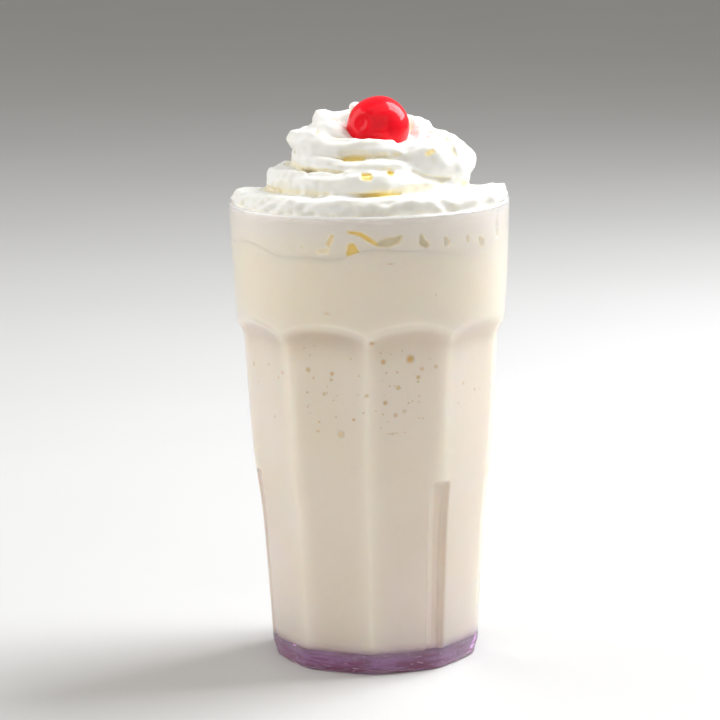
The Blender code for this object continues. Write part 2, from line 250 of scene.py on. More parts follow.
class ShaderSketch:
    """A material under construction."""

    def __init__(self, name: str) -> None:
        """Start an empty node material.

        Args:
            name: The material's name.
        """
        self.material = bpy.data.materials.new(name)
        self.material.use_nodes = True
        self.tree = self.material.node_tree
        self.tree.nodes.clear()
        self.output = self.tree.nodes.new("ShaderNodeOutputMaterial")

    def add(self, kind: str, inputs: dict[Any, Any] | None = None, **settings: Any) -> Any:
        """Add a node.

        Args:
            kind: Blender's name of the node type.
            inputs: Values or sockets for the node's inputs, by name or number.
            settings: The node's own properties.

        Returns:
            The new node.
        """
        node = self.tree.nodes.new(kind)
        for name, value in settings.items():
            setattr(node, name, value)
        for name, value in (inputs or {}).items():
            if isinstance(value, bpy.types.NodeSocket):
                self.tree.links.new(value, node.inputs[name])
            else:
                node.inputs[name].default_value = value
        return node

    def place(self) -> Any:
        """Return the socket that gives the point's place in metres."""
        return self.add("ShaderNodeTexCoord").outputs["Object"]

    def noise(self, pattern: Pattern) -> Any:
        """Add a noise texture.

        Args:
            pattern: The pattern, whose band isn't used.

        Returns:
            A socket with values about 0.5.
        """
        where = self.place()
        if pattern.scale is not None:
            mapping = self.add("ShaderNodeMapping", {"Vector": where, "Scale": pattern.scale})
            where = mapping.outputs["Vector"]
        inputs = {"Vector": where, "Scale": 1.0 / pattern.size}
        inputs |= {"Detail": pattern.detail, "Roughness": pattern.roughness}
        return self.add("ShaderNodeTexNoise", inputs).outputs["Fac"]

    def patches(self, pattern: Pattern, start: float = 0.0, end: float = 1.0) -> Any:
        """Return a noise texture whose band is eased from start to end."""
        return self.ramp(self.noise(pattern), pattern.low, pattern.high, start, end)

    def maths(self, operation: str, first: Any, second: Any = 0.0, third: Any = 0.0) -> Any:
        """Return the result of a Math node."""
        inputs = {0: first, 1: second, 2: third}
        return self.add("ShaderNodeMath", inputs, operation=operation).outputs["Value"]

    def ramp(self, value: Any, low: float, high: float, start: float = 0.0, end: float = 1.0) -> Any:
        """Return a value eased from start to end as the input goes from low to high."""
        inputs = {"Value": value, "From Min": low, "From Max": high, "To Min": start, "To Max": end}
        return self.add("ShaderNodeMapRange", inputs, interpolation_type="SMOOTHSTEP").outputs["Result"]

    def between(self, share: Any, ends: Pair) -> Any:
        """Return a value eased between two ends by a share."""
        return self.ramp(share, 0.0, 1.0, *ends)

    def blend(self, share: Any, first: Any, second: Any) -> Any:
        """Mix two colours.

        Args:
            share: Share of the second colour, as a socket.
            first: A colour, as a triple or a socket.
            second: The other colour.

        Returns:
            A socket with the mixed colour.
        """
        node = self.add("ShaderNodeMix", data_type="RGBA")
        colour_inputs = [socket for socket in node.inputs if socket.type == "RGBA"]
        for socket, value in zip([node.inputs[0], *colour_inputs], (share, first, second)):
            if isinstance(value, bpy.types.NodeSocket):
                self.tree.links.new(value, socket)
            else:
                socket.default_value = (*value, 1.0)
        return next(socket for socket in node.outputs if socket.type == "RGBA")

    def mark(self, name: str) -> Any:
        """Return a value that the mesh stores for each of its points."""
        return self.add("ShaderNodeAttribute", attribute_name=name).outputs["Fac"]

    def bump(self, height: Any, distance: float, strength: float = 1.0, under: Any = None) -> Any:
        """Bend the normal by a height.

        Args:
            height: The height, as a socket.
            distance: Real height in metres of a value of 1.
            strength: Share of the bend that is used.
            under: Normal of a broader bump beneath this one, if any.

        Returns:
            A socket with the bent normal.
        """
        inputs = {"Height": height, "Distance": distance, "Strength": strength}
        if under is not None:
            inputs["Normal"] = under
        return self.add("ShaderNodeBump", inputs).outputs["Normal"]

    def finish(self, inputs: dict[str, Any], volume: Any = None) -> bpy.types.Material:
        """Add the surface shader and link the output.

        Args:
            inputs: Values or sockets for the Principled shader, by name.
            volume: Node of the volume shader, if any.

        Returns:
            The finished material.
        """
        surface = self.add("ShaderNodeBsdfPrincipled", inputs)
        self.tree.links.new(surface.outputs[0], self.output.inputs["Surface"])
        if volume is not None:
            self.tree.links.new(volume.outputs[0], self.output.inputs["Volume"])
        return self.material


# ---- finishes ----

@dataclass(frozen=True)
class ClearPlastic:
    """Clear moulded styrene plastic, whose violet tint shows where it is thick.

    Its wall carries painted shade, and its foot painted reflections and highlights.
    """

    refraction: float = 1.57
    tint: Colour = (0.70, 0.36, 0.76)
    tint_density: float = 18.0
    wall: Colour = (1.0, 0.995, 1.0)
    # foot: the violet is the plastic's own, but its light and dark streaks are painted reflections of the
    # surroundings, and its glints are painted highlights
    foot_light: Colour = (0.66, 0.44, 0.72)
    foot_dark: Colour = (0.32, 0.10, 0.21)
    foot_glint: Colour = (0.95, 0.80, 0.92)
    # painted shade: the wall's colour on the ribs' crests and under the arches
    shade: Colour = (0.84, 0.785, 0.725)
    foot_haze: Pair = (0.42, 0.26)
    lip_haze: float = 0.48
    handled: Pattern = Pattern(14.0 * MM, 5.0, 0.6, 0.42, 0.75)
    handled_roughness: Pair = (0.01, 0.06)
    reflection_streaks: Pattern = Pattern(9.0 * MM, 4.0, 0.6, 0.42, 0.60, (1.0, 1.0, 6.0))
    glints: Pattern = Pattern(3.0 * MM, 3.0, 0.6, 0.60, 0.68, (1.0, 1.0, 4.0))
    ripple: Pattern = Pattern(9.0 * MM, 1.0, 0.4, scale=(1.0, 1.0, 0.35))
    ripple_depth: float = 0.03 * MM

    def material(self) -> bpy.types.Material:
        """Build the material.

        Returns:
            The finished material.
        """
        sketch = ShaderSketch("tinted_plastic")
        thick = sketch.mark("thick")
        # painted reflection streaks and painted highlights on the foot's violet
        reflection_streaks = sketch.patches(self.reflection_streaks)
        foot = sketch.blend(reflection_streaks, self.foot_dark, self.foot_light)
        foot = sketch.blend(sketch.patches(self.glints), foot, self.foot_glint)
        haze = sketch.maths("MULTIPLY", thick, sketch.between(reflection_streaks, self.foot_haze))
        haze = sketch.maths("MULTIPLY_ADD", sketch.mark("lip"), self.lip_haze, haze)
        # the wall with its painted shade, where the shade mark is set
        wall = sketch.blend(sketch.mark("shade"), self.wall, self.shade)
        tint = {"Color": (*self.tint, 1.0), "Density": self.tint_density}
        return sketch.finish(
            {
                "Base Color": sketch.blend(thick, wall, foot),
                "Roughness": sketch.patches(self.handled, *self.handled_roughness),
                "IOR": self.refraction,
                "Transmission Weight": sketch.between(haze, (1.0, 0.0)),
                "Normal": sketch.bump(sketch.noise(self.ripple), self.ripple_depth),
            },
            sketch.add("ShaderNodeVolumeAbsorption", tint),
        )


@dataclass(frozen=True)
class SmoothieFinish:
    """Thick milky drink, cream beige with a faint mottle and fine froth."""

    deep: Colour = (0.960, 0.920, 0.765)
    pale: Colour = (0.972, 0.938, 0.805)
    froth: Colour = (0.982, 0.960, 0.880)
    mottle: Pattern = Pattern(26.0 * MM, 4.0, 0.55, 0.35, 0.68)
    froth_patches: Pattern = Pattern(6.0 * MM, 3.0, 0.6, 0.52, 0.66)
    froth_cell: float = 1.0 * MM
    froth_speck: Pair = (0.10, 0.30)
    froth_strength: float = 0.22
    froth_depth: float = 0.02 * MM
    froth_bump: float = 0.5
    roughness: Pair = (0.42, 0.55)
    scatter_weight: float = 0.5
    scatter: Triple = (1.0, 0.75, 0.5)
    scatter_depth: float = 2.0 * MM
    refraction: float = 1.2

    def body(self, sketch: ShaderSketch) -> Any:
        """Return the drink's colour, for this finish and for the film of drink on the wall."""
        return sketch.blend(sketch.patches(self.mottle), self.deep, self.pale)

    def material(self) -> bpy.types.Material:
        """Build the material.

        Returns:
            The finished material.
        """
        sketch = ShaderSketch("coconut_smoothie")
        cells = {"Vector": sketch.place(), "Scale": 1.0 / self.froth_cell, "Randomness": 1.0}
        distance = sketch.add("ShaderNodeTexVoronoi", cells).outputs["Distance"]
        speck = sketch.ramp(distance, *self.froth_speck, 1.0, 0.0)
        sparse = sketch.patches(self.froth_patches)
        frothy = sketch.maths("MULTIPLY", sketch.maths("MULTIPLY", speck, sparse), self.froth_strength)
        return sketch.finish(
            {
                "Base Color": sketch.blend(frothy, self.body(sketch), self.froth),
                "Roughness": sketch.between(sparse, self.roughness),
                "Subsurface Weight": self.scatter_weight,
                "Subsurface Radius": self.scatter,
                "Subsurface Scale": self.scatter_depth,
                "IOR": self.refraction,
                "Normal": sketch.bump(speck, self.froth_depth, self.froth_bump),
            }
        )


@dataclass(frozen=True)
class CreamFinish:
    """Whipped cream: soft white, pink beside the cherry, beige at the wall.

    Its yellow in creases and pits, and its amber and olive in the hollows at the wall, are painted shade.
    """

    drink: SmoothieFinish = SmoothieFinish()
    light: Colour = (0.80, 0.795, 0.765)
    shaded: Colour = (0.775, 0.765, 0.715)
    film: Colour = (0.985, 0.958, 0.85)
    # painted shade: warm yellow in creases and pressed pits
    crease_shade_colour: Colour = (0.96, 0.78, 0.30)
    # painted shade in the hollows at the wall: amber, and olive where it is greyer
    amber_shade: Colour = (0.87, 0.63, 0.05)
    olive_shade: Colour = (0.52, 0.44, 0.13)
    stained: Colour = (0.90, 0.45, 0.42)
    drift: Pattern = Pattern(11.0 * MM, 4.0, 0.55, 0.40, 0.66)
    film_cover: Pair = (0.88, 1.0)
    foam: Pattern = Pattern(1.3 * MM, 4.0, 0.6, 0.3, 0.7)
    foam_depth: float = 0.06 * MM
    foam_bump: float = 0.7
    grain: Pattern = Pattern(0.35 * MM, 2.0, 0.5)
    grain_depth: float = 0.02 * MM
    grain_bump: float = 0.6
    roughness: Pair = (0.40, 0.58)
    scatter_weight: float = 0.5
    scatter: Triple = (1.0, 0.9, 0.75)
    scatter_depth: float = 1.6 * MM
    refraction: float = 1.35

    def material(self) -> bpy.types.Material:
        """Build the material.

        Returns:
            The finished material.
        """
        sketch = ShaderSketch("whipped_cream")
        drift = sketch.patches(self.drift)
        film = sketch.blend(sketch.mark("rise"), self.drink.body(sketch), self.film)
        cover = sketch.maths("MULTIPLY", sketch.mark("soak"), sketch.between(drift, self.film_cover))
        colour = sketch.blend(cover, sketch.blend(drift, self.light, self.shaded), film)
        # the crease and hollow marks are painted shade; stain is the pink beside the cherry
        stains_and_shade = {"amber_shade": self.amber_shade, "olive_shade": self.olive_shade, "crease_shade": self.crease_shade_colour, "stain": self.stained}
        for mark, stain in stains_and_shade.items():
            colour = sketch.blend(sketch.mark(mark), colour, stain)
        foam = sketch.noise(self.foam)
        relief = sketch.bump(foam, self.foam_depth, self.foam_bump)
        return sketch.finish(
            {
                "Base Color": colour,
                "Roughness": sketch.ramp(foam, self.foam.low, self.foam.high, *self.roughness),
                "Subsurface Weight": self.scatter_weight,
                "Subsurface Radius": self.scatter,
                "Subsurface Scale": self.scatter_depth,
                "IOR": self.refraction,
                "Normal": sketch.bump(sketch.noise(self.grain), self.grain_depth, self.grain_bump, relief),
            }
        )


@dataclass(frozen=True)
class CherryFinish:
    """Syrup-glazed cherry skin, deep red with a wet shine."""

    bright: Colour = (0.92, 0.0, 0.012)
    deep: Colour = (0.76, 0.0, 0.010)
    cloud: Pattern = Pattern(6.0 * MM, 4.0, 0.55, 0.38, 0.66)
    wrinkle: Pattern = Pattern(3.5 * MM, 3.0, 0.5)
    wrinkle_depth: float = 0.12 * MM
    pores: Pattern = Pattern(0.6 * MM, 2.0, 0.5, 0.3, 0.7)
    pore_depth: float = 0.02 * MM
    pore_bump: float = 0.5
    roughness: Pair = (0.40, 0.55)
    skin_specular: float = 0.06
    scatter_weight: float = 0.12
    scatter: Triple = (1.0, 0.10, 0.06)
    scatter_depth: float = 1.5 * MM
    refraction: float = 1.45
    glaze: float = 0.46
    glaze_roughness: float = 0.09

    def material(self) -> bpy.types.Material:
        """Build the material.

        Returns:
            The finished material.
        """
        sketch = ShaderSketch("glazed_cherry")
        skin = sketch.blend(sketch.patches(self.cloud), self.bright, self.deep)
        pores = sketch.noise(self.pores)
        relief = sketch.bump(sketch.noise(self.wrinkle), self.wrinkle_depth)
        return sketch.finish(
            {
                "Base Color": sketch.blend(sketch.mark("dimple"), skin, self.deep),
                "Roughness": sketch.ramp(pores, self.pores.low, self.pores.high, *self.roughness),
                "Specular IOR Level": self.skin_specular,
                "Subsurface Weight": self.scatter_weight,
                "Subsurface Radius": self.scatter,
                "Subsurface Scale": self.scatter_depth,
                "IOR": self.refraction,
                "Coat Weight": self.glaze,
                "Coat Roughness": self.glaze_roughness,
                "Normal": sketch.bump(pores, self.pore_depth, self.pore_bump, relief),
            }
        )


@dataclass(frozen=True)
class BubbleFinish:
    """Air bubbles against the wall: ochre and olive painted shade in the middle, like the drink at the edge.
    """

    drink: SmoothieFinish = SmoothieFinish()
    # painted shade: the darker middle of each bubble, standing in for its shadowed hollow
    ochre_shade: Colour = (0.78, 0.50, 0.17)
    olive_shade: Colour = (0.62, 0.52, 0.18)
    uneven: Pattern = Pattern(4.0 * MM, 2.0, 0.5, 0.40, 0.60)
    rough_band: Pair = (0.3, 0.7)
    roughness: Pair = (0.35, 0.5)
    scatter_weight: float = 0.3
    scatter: Triple = (1.0, 0.7, 0.4)
    scatter_depth: float = 0.5 * MM

    def material(self) -> bpy.types.Material:
        """Build the material.

        Returns:
            The finished material.
        """
        sketch = ShaderSketch("wall_bubbles")
        uneven = sketch.noise(self.uneven)
        share = sketch.ramp(uneven, self.uneven.low, self.uneven.high)
        middle = sketch.blend(share, self.ochre_shade, self.olive_shade)
        return sketch.finish(
            {
                # the depth mark sets how much painted shade a bubble's middle shows
                "Base Color": sketch.blend(sketch.mark("depth"), self.drink.body(sketch), middle),
                "Roughness": sketch.ramp(uneven, *self.rough_band, *self.roughness),
                "Subsurface Weight": self.scatter_weight,
                "Subsurface Radius": self.scatter,
                "Subsurface Scale": self.scatter_depth,
                "IOR": self.drink.refraction,
            }
        )


@dataclass(frozen=True)
class FloorFinish:
    """Pale matt table top."""

    light: Colour = (0.60, 0.590, 0.575)
    dark: Colour = (0.56, 0.550, 0.535)
    patch: Pattern = Pattern(0.18, 3.0, 0.5)
    roughness: float = 0.6

    def material(self) -> bpy.types.Material:
        """Build the material.

        Returns:
            The finished material.
        """
        sketch = ShaderSketch("pale_floor")
        colour = sketch.blend(sketch.noise(self.patch), self.light, self.dark)
        return sketch.finish({"Base Color": colour, "Roughness": self.roughness})


# ---- mesh building ----

def add_piece(
    name: str,
    points: Array,
    faces: Iterable[Sequence[int]],
    material: bpy.types.Material,
    marks: dict[str, Array] | None = None,
) -> bpy.types.Object:
    """Make a smooth-shaded mesh object.

    Args:
        name: The piece's name.
        points: Points in metres.
        faces: Corner numbers of each face, anticlockwise as seen from outside.
        material: The piece's finish.
        marks: Values for each point that the finish reads, by name.

    Returns:
        The new object.
    """
    mesh = bpy.data.meshes.new(name)
    mesh.from_pydata(points.tolist(), [], faces if isinstance(faces, list) else faces.tolist())
    mesh.shade_smooth()
    for mark, values in (marks or {}).items():
        attribute = mesh.attributes.new(mark, "FLOAT", "POINT")
        attribute.data.foreach_set("value", values.astype(np.float32))
    mesh.materials.append(material)
    piece = bpy.data.objects.new(name, mesh)
    bpy.context.scene.collection.objects.link(piece)
    return piece


def attach(piece: bpy.types.Object, node: Node) -> bpy.types.Object:
    """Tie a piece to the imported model.

    Args:
        piece: The piece.
        node: The node that it stands for.

    Returns:
        The same piece.
    """
    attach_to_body(piece, Body.ROOT.value)
    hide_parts(node.value)
    return piece


def ring(angles: Array, radii: Array | float, heights: Array | float) -> Array:
    """Return points round the axis, at angles in radians from the front towards +X."""
    ones = np.ones_like(angles)
    return np.stack([radii * ones * np.sin(angles), -radii * ones * np.cos(angles), heights * ones], axis=1)


def angle_of(points: Array) -> Array:
    """Return the angle of points round the axis, in radians from the front towards +X."""
    return np.arctan2(points[..., 0], -points[..., 1])


def skin_rings(rings: Sequence[Array], first_pole: Vector, last_pole: Vector) -> tuple[Array, Faces]:
    """Skin a stack of rings and close it with a fan at both ends.

    Args:
        rings: Rings of equal length, from the first pole to the last, so that the surface's
            outside is on the left of the way up.
        first_pole: Point in the middle of the first ring.
        last_pole: Point in the middle of the last ring.

    Returns:
        The points and the faces.
    """
    count = len(rings[0])
    points = np.concatenate([*rings, [tuple(first_pole)], [tuple(last_pole)]])
    here = np.arange(count)
    following = (here + 1) % count
    starts = np.arange(len(rings) - 1)[:, None] * count
    corners = [starts + here, starts + following, starts + count + following, starts + count + here]
    quads = np.stack(corners, axis=-1).reshape(-1, 4)
    first = count * len(rings)
    top = first - count
    fan_first = [[first, int(j), int(i)] for i, j in zip(here, following)]
    fan_last = [[first + 1, top + int(i), top + int(j)] for i, j in zip(here, following)]
    return points, quads.tolist() + fan_first + fan_last


def net_points(values: Array, low: Array, step: float) -> tuple[Array, Array]:
    """Put a point in every cell of a gridded field that its zero surface passes through.

    Args:
        values: Field values on a regular grid, negative inside.
        low: The grid's lowest corner in metres.
        step: The grid's spacing in metres.

    Returns:
        The points, each in the middle of its cell's crossed edges, and the number of each
        cell's point, with -1 where there is none.
    """
    cells = tuple(n - 1 for n in values.shape)
    total = np.zeros((*cells, 3))
    count = np.zeros(cells)
    for axis in range(3):
        start = np.take(values, range(cells[axis]), axis=axis)
        end = np.take(values, range(1, values.shape[axis]), axis=axis)
        crossed = (start < 0.0) != (end < 0.0)
        along = np.where(crossed, start / np.where(crossed, start - end, 1.0), 0.0)
        one, two = (other for other in range(3) if other != axis)
        for shift_one, shift_two in ((0, 0), (0, 1), (1, 0), (1, 1)):
            window = [slice(0, n) for n in cells]
            window[one] = slice(shift_one, shift_one + cells[one])
            window[two] = slice(shift_two, shift_two + cells[two])
            hit = crossed[tuple(window)]
            total[..., axis] += along[tuple(window)]
            total[..., one] += hit * shift_one
            total[..., two] += hit * shift_two
            count += hit
    used = count > 0
    number = np.full(cells, -1)
    number[used] = np.arange(int(used.sum()))
    return low + step * (np.argwhere(used) + total[used] / count[used][:, None]), number


def net_surface(values: Array, low: Array, step: float) -> tuple[Array, Array]:
    """Lay a net of quads over the surface where a gridded field is zero.

    Args:
        values: Field values on a regular grid, negative inside.
        low: The grid's lowest corner in metres.
        step: The grid's spacing in metres.

    Returns:
        The net's points and its quads, facing out.
    """
    points, number = net_points(values, low, step)
    quads = []
    for axis in range(3):
        start_inside = np.take(values, range(number.shape[axis]), axis=axis) < 0.0
        end_inside = np.take(values, range(1, values.shape[axis]), axis=axis) < 0.0
        u, v = (axis + 1) % 3, (axis + 2) % 3
        place = np.argwhere(start_inside != end_inside)
        within = (place[:, (u, v)] > 0) & (place[:, (u, v)] < (number.shape[u], number.shape[v]))
        place = place[within.all(axis=1)]
        corners = []
        for back_u, back_v in ((1, 1), (0, 1), (0, 0), (1, 0)):
            cell = place.copy()
            cell[:, u] -= back_u
            cell[:, v] -= back_v
            corners.append(number[tuple(cell.T)])
        quad = np.stack(corners, axis=1)
        flip = ~start_inside[tuple(place.T)]
        quad[flip] = quad[flip][:, ::-1]
        quads.append(quad)
    return points, np.concatenate(quads)


def field_slope(distance: Callable[[Array], Array], points: Array, reach: float = 0.1 * MM) -> Array:
    """Return the direction in which a distance field grows fastest.

    Args:
        distance: The field.
        points: Where to read it.
        reach: Half the distance over which the slope is measured.

    Returns:
        One direction of length one for each point.
    """
    slope = np.empty_like(points)
    for axis in range(3):
        shift = np.zeros(3)
        shift[axis] = reach
        slope[:, axis] = distance(points + shift) - distance(points - shift)
    return slope / np.maximum(np.linalg.norm(slope, axis=1), 1e-12)[:, None]


# ---- tumbler ----

@dataclass(frozen=True)
class PaintedWallShade:
    """Painted shade that darkens the wall: on the stacking ribs' crests and under the arches.

    Bands are the ends between which the painted shade eases; the arches' are depths below their line.
    The gleam is a painted highlight along each rib's crest.
    """

    rib_top_fade: float = 1.0 * MM
    rib_foot_fade: float = 2.5 * MM
    crest_left_degrees: Pair = (-4.6, -3.9)
    crest_right_degrees: Pair = (3.6, 5.8)
    gleam: float = 0.45
    gleam_degrees: float = 0.6
    gleam_width_degrees: float = 1.3
    arch_start: Pair = (0.4 * MM, 2.2 * MM)
    arch_end: Pair = (2.0 * MM, 13.0 * MM)
    arch_strength: float = 0.85
    arch_power: int = 6

    def crest(self, away: Array) -> Array:
        """Shape the painted shade across a rib.

        Args:
            away: Degrees from the rib's middle.

        Returns:
            The painted shade, which is lighter along a painted highlight near the middle.
        """
        side = smooth_step(away, *self.crest_left_degrees)
        side *= 1.0 - smooth_step(away, *self.crest_right_degrees)
        offset = (away - self.gleam_degrees) / self.gleam_width_degrees
        return side * (1.0 - self.gleam * np.exp(-(offset**2)))

    def arch(self, below: Array, across: Array) -> Array:
        """Shape the painted shade under an arch.

        Args:
            below: Depth below the arch's line.
            across: Place across the panel, from -1 to 1.

        Returns:
            The painted shade, which ends at the arrises.
        """
        band = smooth_step(below, *self.arch_start) * (1.0 - smooth_step(below, *self.arch_end))
        return band * (self.arch_strength * (1.0 - np.abs(across) ** self.arch_power))


@dataclass
class Tumbler:
    """The fluted tumbler: a round collar over nine flat panels, stacking ribs and a thick floor.

    Rows of the wall's mesh are given as first, end and spacing in millimetres.
    """

    finish: ClearPlastic = ClearPlastic()
    wall_shading: PaintedWallShade = PaintedWallShade()
    height: float = 145.4 * MM
    rim_radius: float = 44.0 * MM
    rim_wall: float = 1.8 * MM
    panel_wall: float = 2.4 * MM
    floor: float = 6.2 * MM
    floor_rounding: float = 1.6 * MM
    underside_radius: float = 31.2 * MM
    foot_rounding: float = 0.7 * MM
    recess_depth: float = 1.2 * MM
    recess_radius: float = 26.5 * MM
    foot_ring_radius: float = 28.6 * MM
    panels: int = 9
    first_arris_degrees: float = -2.6
    arris_rounding: float = 0.35 * MM
    foot_flatness: float = 0.65
    flatness_low: float = 25.0 * MM
    flatness_high: float = 60.0 * MM
    cusp_height: float = 107.5 * MM
    arch_rise: float = 3.4 * MM
    arch_falloff: float = 2.2
    arch_hold: float = 2.0 * MM
    arch_reach: float = 17.0 * MM
    drop_at_arris: float = 4.4 * MM
    drop_at_panel: float = 7.5 * MM
    shoulder_power: float = 1.7
    shoulder_overrun: float = 1.3
    shoulder_edge: float = 0.14
    inner_lift: float = 0.8 * MM
    rib_every: int = 3
    rib_first: int = 1
    rib_top: float = 60.6 * MM
    rib_rounding: float = 2.2 * MM
    rib_depth: float = 2.4 * MM
    rib_turn_degrees: float = -2.1
    rib_foot_degrees: float = 5.8
    rib_crest_degrees: float = 3.3
    rib_corner: float = 1.4 * MM
    rib_corner_degrees: float = 1.5
    tint_fade: Pair = (-0.5 * MM, 2.5 * MM)
    lip_fade: Pair = (-1.5 * MM, -0.5 * MM)
    columns_per_panel: int = 32
    column_crowding: float = 1.35
    rib_columns_degrees: Triple = (-6.6, 6.61, 0.4)
    even_rows: int = 60
    shoulder_rows: Triple = (-9.0, 1.6, 0.6)
    crease_rows: Triple = (-0.6, 0.61, 0.2)
    rib_rows: Pair = (-4.0, 1.1)
    rib_row_outside: float = 1.0
    rib_row_inside: float = 0.3
    corner_rows: int = 7
    rim_rows: int = 13
    least_row_gap: float = 0.09 * MM
    panel_profile: tuple[Pair, ...] = in_mm(
        (0.0, 31.9), (2.5, 32.5), (4.6, 33.2), (8.0, 33.4), (21.0, 34.1), (35.0, 35.0),
        (47.0, 35.9), (55.0, 36.9), (65.0, 38.2), (79.0, 39.2), (97.0, 40.2), (115.0, 41.2),
    )
    collar_profile: tuple[Pair, ...] = in_mm((99.0, 41.6), (111.0, 42.4), (125.0, 43.2), (145.4, 44.0))

    def rib_degrees(self) -> list[float]:
        """Work out where the stacking ribs stand.

        Returns:
            The angle of each rib's middle.
        """
        panel = 360.0 / self.panels
        numbers = range(self.rib_first, self.panels, self.rib_every)
        return [self.first_arris_degrees + self.rib_turn_degrees + number * panel for number in numbers]

    def from_ribs(self, angles: Array) -> list[Array]:
        """Return the degrees from each rib's middle, from -180 to 180."""
        return [(np.degrees(angles) - rib + 180.0) % 360.0 - 180.0 for rib in self.rib_degrees()]

    def columns(self) -> Array:
        """Place the columns of the wall's mesh, closer together at the arrises and the ribs.

        Returns:
            The column angles in radians.
        """
        panel = 360.0 / self.panels
        even = np.linspace(-1.0, 1.0, self.columns_per_panel, endpoint=False)
        crowded = np.sign(even) * (1.0 - (1.0 - np.abs(even)) ** self.column_crowding)
        degrees = [
            self.first_arris_degrees + (index + 0.5) * panel + crowded * 0.5 * panel
            for index in range(self.panels)
        ]
        degrees += [rib + np.arange(*self.rib_columns_degrees) for rib in self.rib_degrees()]
        return np.radians(np.unique(np.round(np.concatenate(degrees), 3)))

    def across_panel(self, angles: Array) -> Array:
        """Return the place across the panel: 0 in its middle, -1 and 1 at its arrises."""
        turned = (angles - math.radians(self.first_arris_degrees)) * self.panels / (2.0 * math.pi)
        return 2.0 * (turned - np.floor(turned)) - 1.0

    def flat_radius(self, angles: Array, arris: Array, flatness: Array | float, rounding: float) -> Array:
        """Return the radius of flat panels whose arrises are slightly rounded.

        Args:
            angles: Angles in radians.
            arris: Radius of the sharp arris.
            flatness: 1 for flat panels, 0 for a round wall.
            rounding: How far the arris is rounded off.

        Returns:
            One radius for each angle.
        """
        half = math.pi / self.panels
        flat = arris * math.cos(half) / np.cos(self.across_panel(angles) * half)
        eased = soft_union(flat, arris - rounding, rounding)
        return arris + (eased - arris) * flatness

    def arch(self, angles: Array) -> Array:
        """Return how far the arched line stands over its cusps."""
        return self.arch_rise * (1.0 - np.abs(self.across_panel(angles)) ** self.arch_falloff)

    def row_heights(self, angles: Array, level: float) -> Array:
        """Return the heights of a row, which follows the arches near them."""
        reach = float(1.0 - smooth_step(abs(level - self.cusp_height), self.arch_hold, self.arch_reach))
        return level + self.arch(angles) * reach

    def shoulder(self, angles: Array, heights: Array, lift: float) -> Array:
        """Return the share of the collar in the wall.

        The shoulder leaves the panel gently and meets the collar in a crisp edge.

        Args:
            angles: Angles in radians.
            heights: Heights in metres.
            lift: How much higher the shoulder is than on the outside.

        Returns:
            0 on the panels and 1 above the arches.
        """
        at_arris = np.abs(self.across_panel(angles)) ** self.arch_falloff
        drop = self.drop_at_panel + (self.drop_at_arris - self.drop_at_panel) * at_arris
        top = self.cusp_height + self.arch(angles) + lift
        climb = np.clip((heights - top + drop) / drop, 0.0, self.shoulder_overrun)
        return soft_union(climb**self.shoulder_power, 1.0, self.shoulder_edge)

    def outer(self, angles: Array, heights: Array) -> Array:
        """Shape the outer wall.

        Args:
            angles: Angles in radians.
            heights: Heights in metres.

        Returns:
            The outer wall's radius.
        """
        eased = smooth_step(heights, self.flatness_low, self.flatness_high)
        flatness = self.foot_flatness + (1.0 - self.foot_flatness) * eased
        arris = smooth_curve(self.panel_profile, heights)
        below = self.flat_radius(angles, arris, flatness, self.arris_rounding)
        above = smooth_curve(self.collar_profile, heights)
        return below + (above - below) * self.shoulder(angles, heights, 0.0)

    def inner(self, angles: Array, heights: Array) -> Array:
        """Shape the cavity, without the ribs and the rounded corner at the floor.

        Args:
            angles: Angles in radians.
            heights: Heights in metres.

        Returns:
            The cavity's radius.
        """
        arris = smooth_curve(self.panel_profile, np.maximum(heights, self.floor)) - self.panel_wall
        below = self.flat_radius(angles, arris, 1.0, 0.5 * self.arris_rounding)
        above = smooth_curve(self.collar_profile, heights) - self.rim_wall
        return below + (above - below) * self.shoulder(angles, heights, self.inner_lift)

    def ribs(self, angles: Array, heights: Array) -> Array:
        """Shape the stacking ribs, whose tops are cut back at one corner.

        Args:
            angles: Angles in radians.
            heights: Heights in metres.

        Returns:
            How far the ribs stand in from the cavity's wall.
        """
        relief = np.zeros_like(angles * heights)
        for away in self.from_ribs(angles):
            corner = self.rib_corner * smooth_step(-away, self.rib_corner_degrees, self.rib_foot_degrees)
            rise = quarter_arc(np.clip((self.rib_top - corner - heights) / self.rib_rounding, 0.0, 1.0))
            side = 1.0 - smooth_step(np.abs(away), self.rib_crest_degrees, self.rib_foot_degrees)
            relief = np.maximum(relief, self.rib_depth * rise * side)
        return relief

    def cavity(self, angles: Array, heights: Array) -> Array:
        """Shape the cavity with its ribs and its rounded corner.

        Args:
            angles: Angles in radians.
            heights: Heights in metres, above the floor.

        Returns:
            The cavity's true radius.
        """
        above_floor = np.clip((heights - self.floor) / self.floor_rounding, 0.0, 1.0)
        corner = self.floor_rounding * (1.0 - quarter_arc(above_floor))
        return self.inner(angles, heights) - self.ribs(angles, heights) - corner

    def shade(self, points: Array) -> Array:
        """Return how strongly painted shade darkens the wall, from 0 to 1.

        Args:
            points: Points of the wall, one row each.

        Returns:
            The painted shade at each point.
        """
        angles = angle_of(points)
        heights = points[:, 2]
        on_rib = smooth_step(self.rib_top - heights, 0.0, self.wall_shading.rib_top_fade)
        on_rib *= smooth_step(heights, self.floor, self.floor + self.wall_shading.rib_foot_fade)
        crests = [on_rib * self.wall_shading.crest(away) for away in self.from_ribs(angles)]
        below = self.cusp_height + self.arch(angles) - heights
        return np.max([*crests, self.wall_shading.arch(below, self.across_panel(angles))], axis=0)

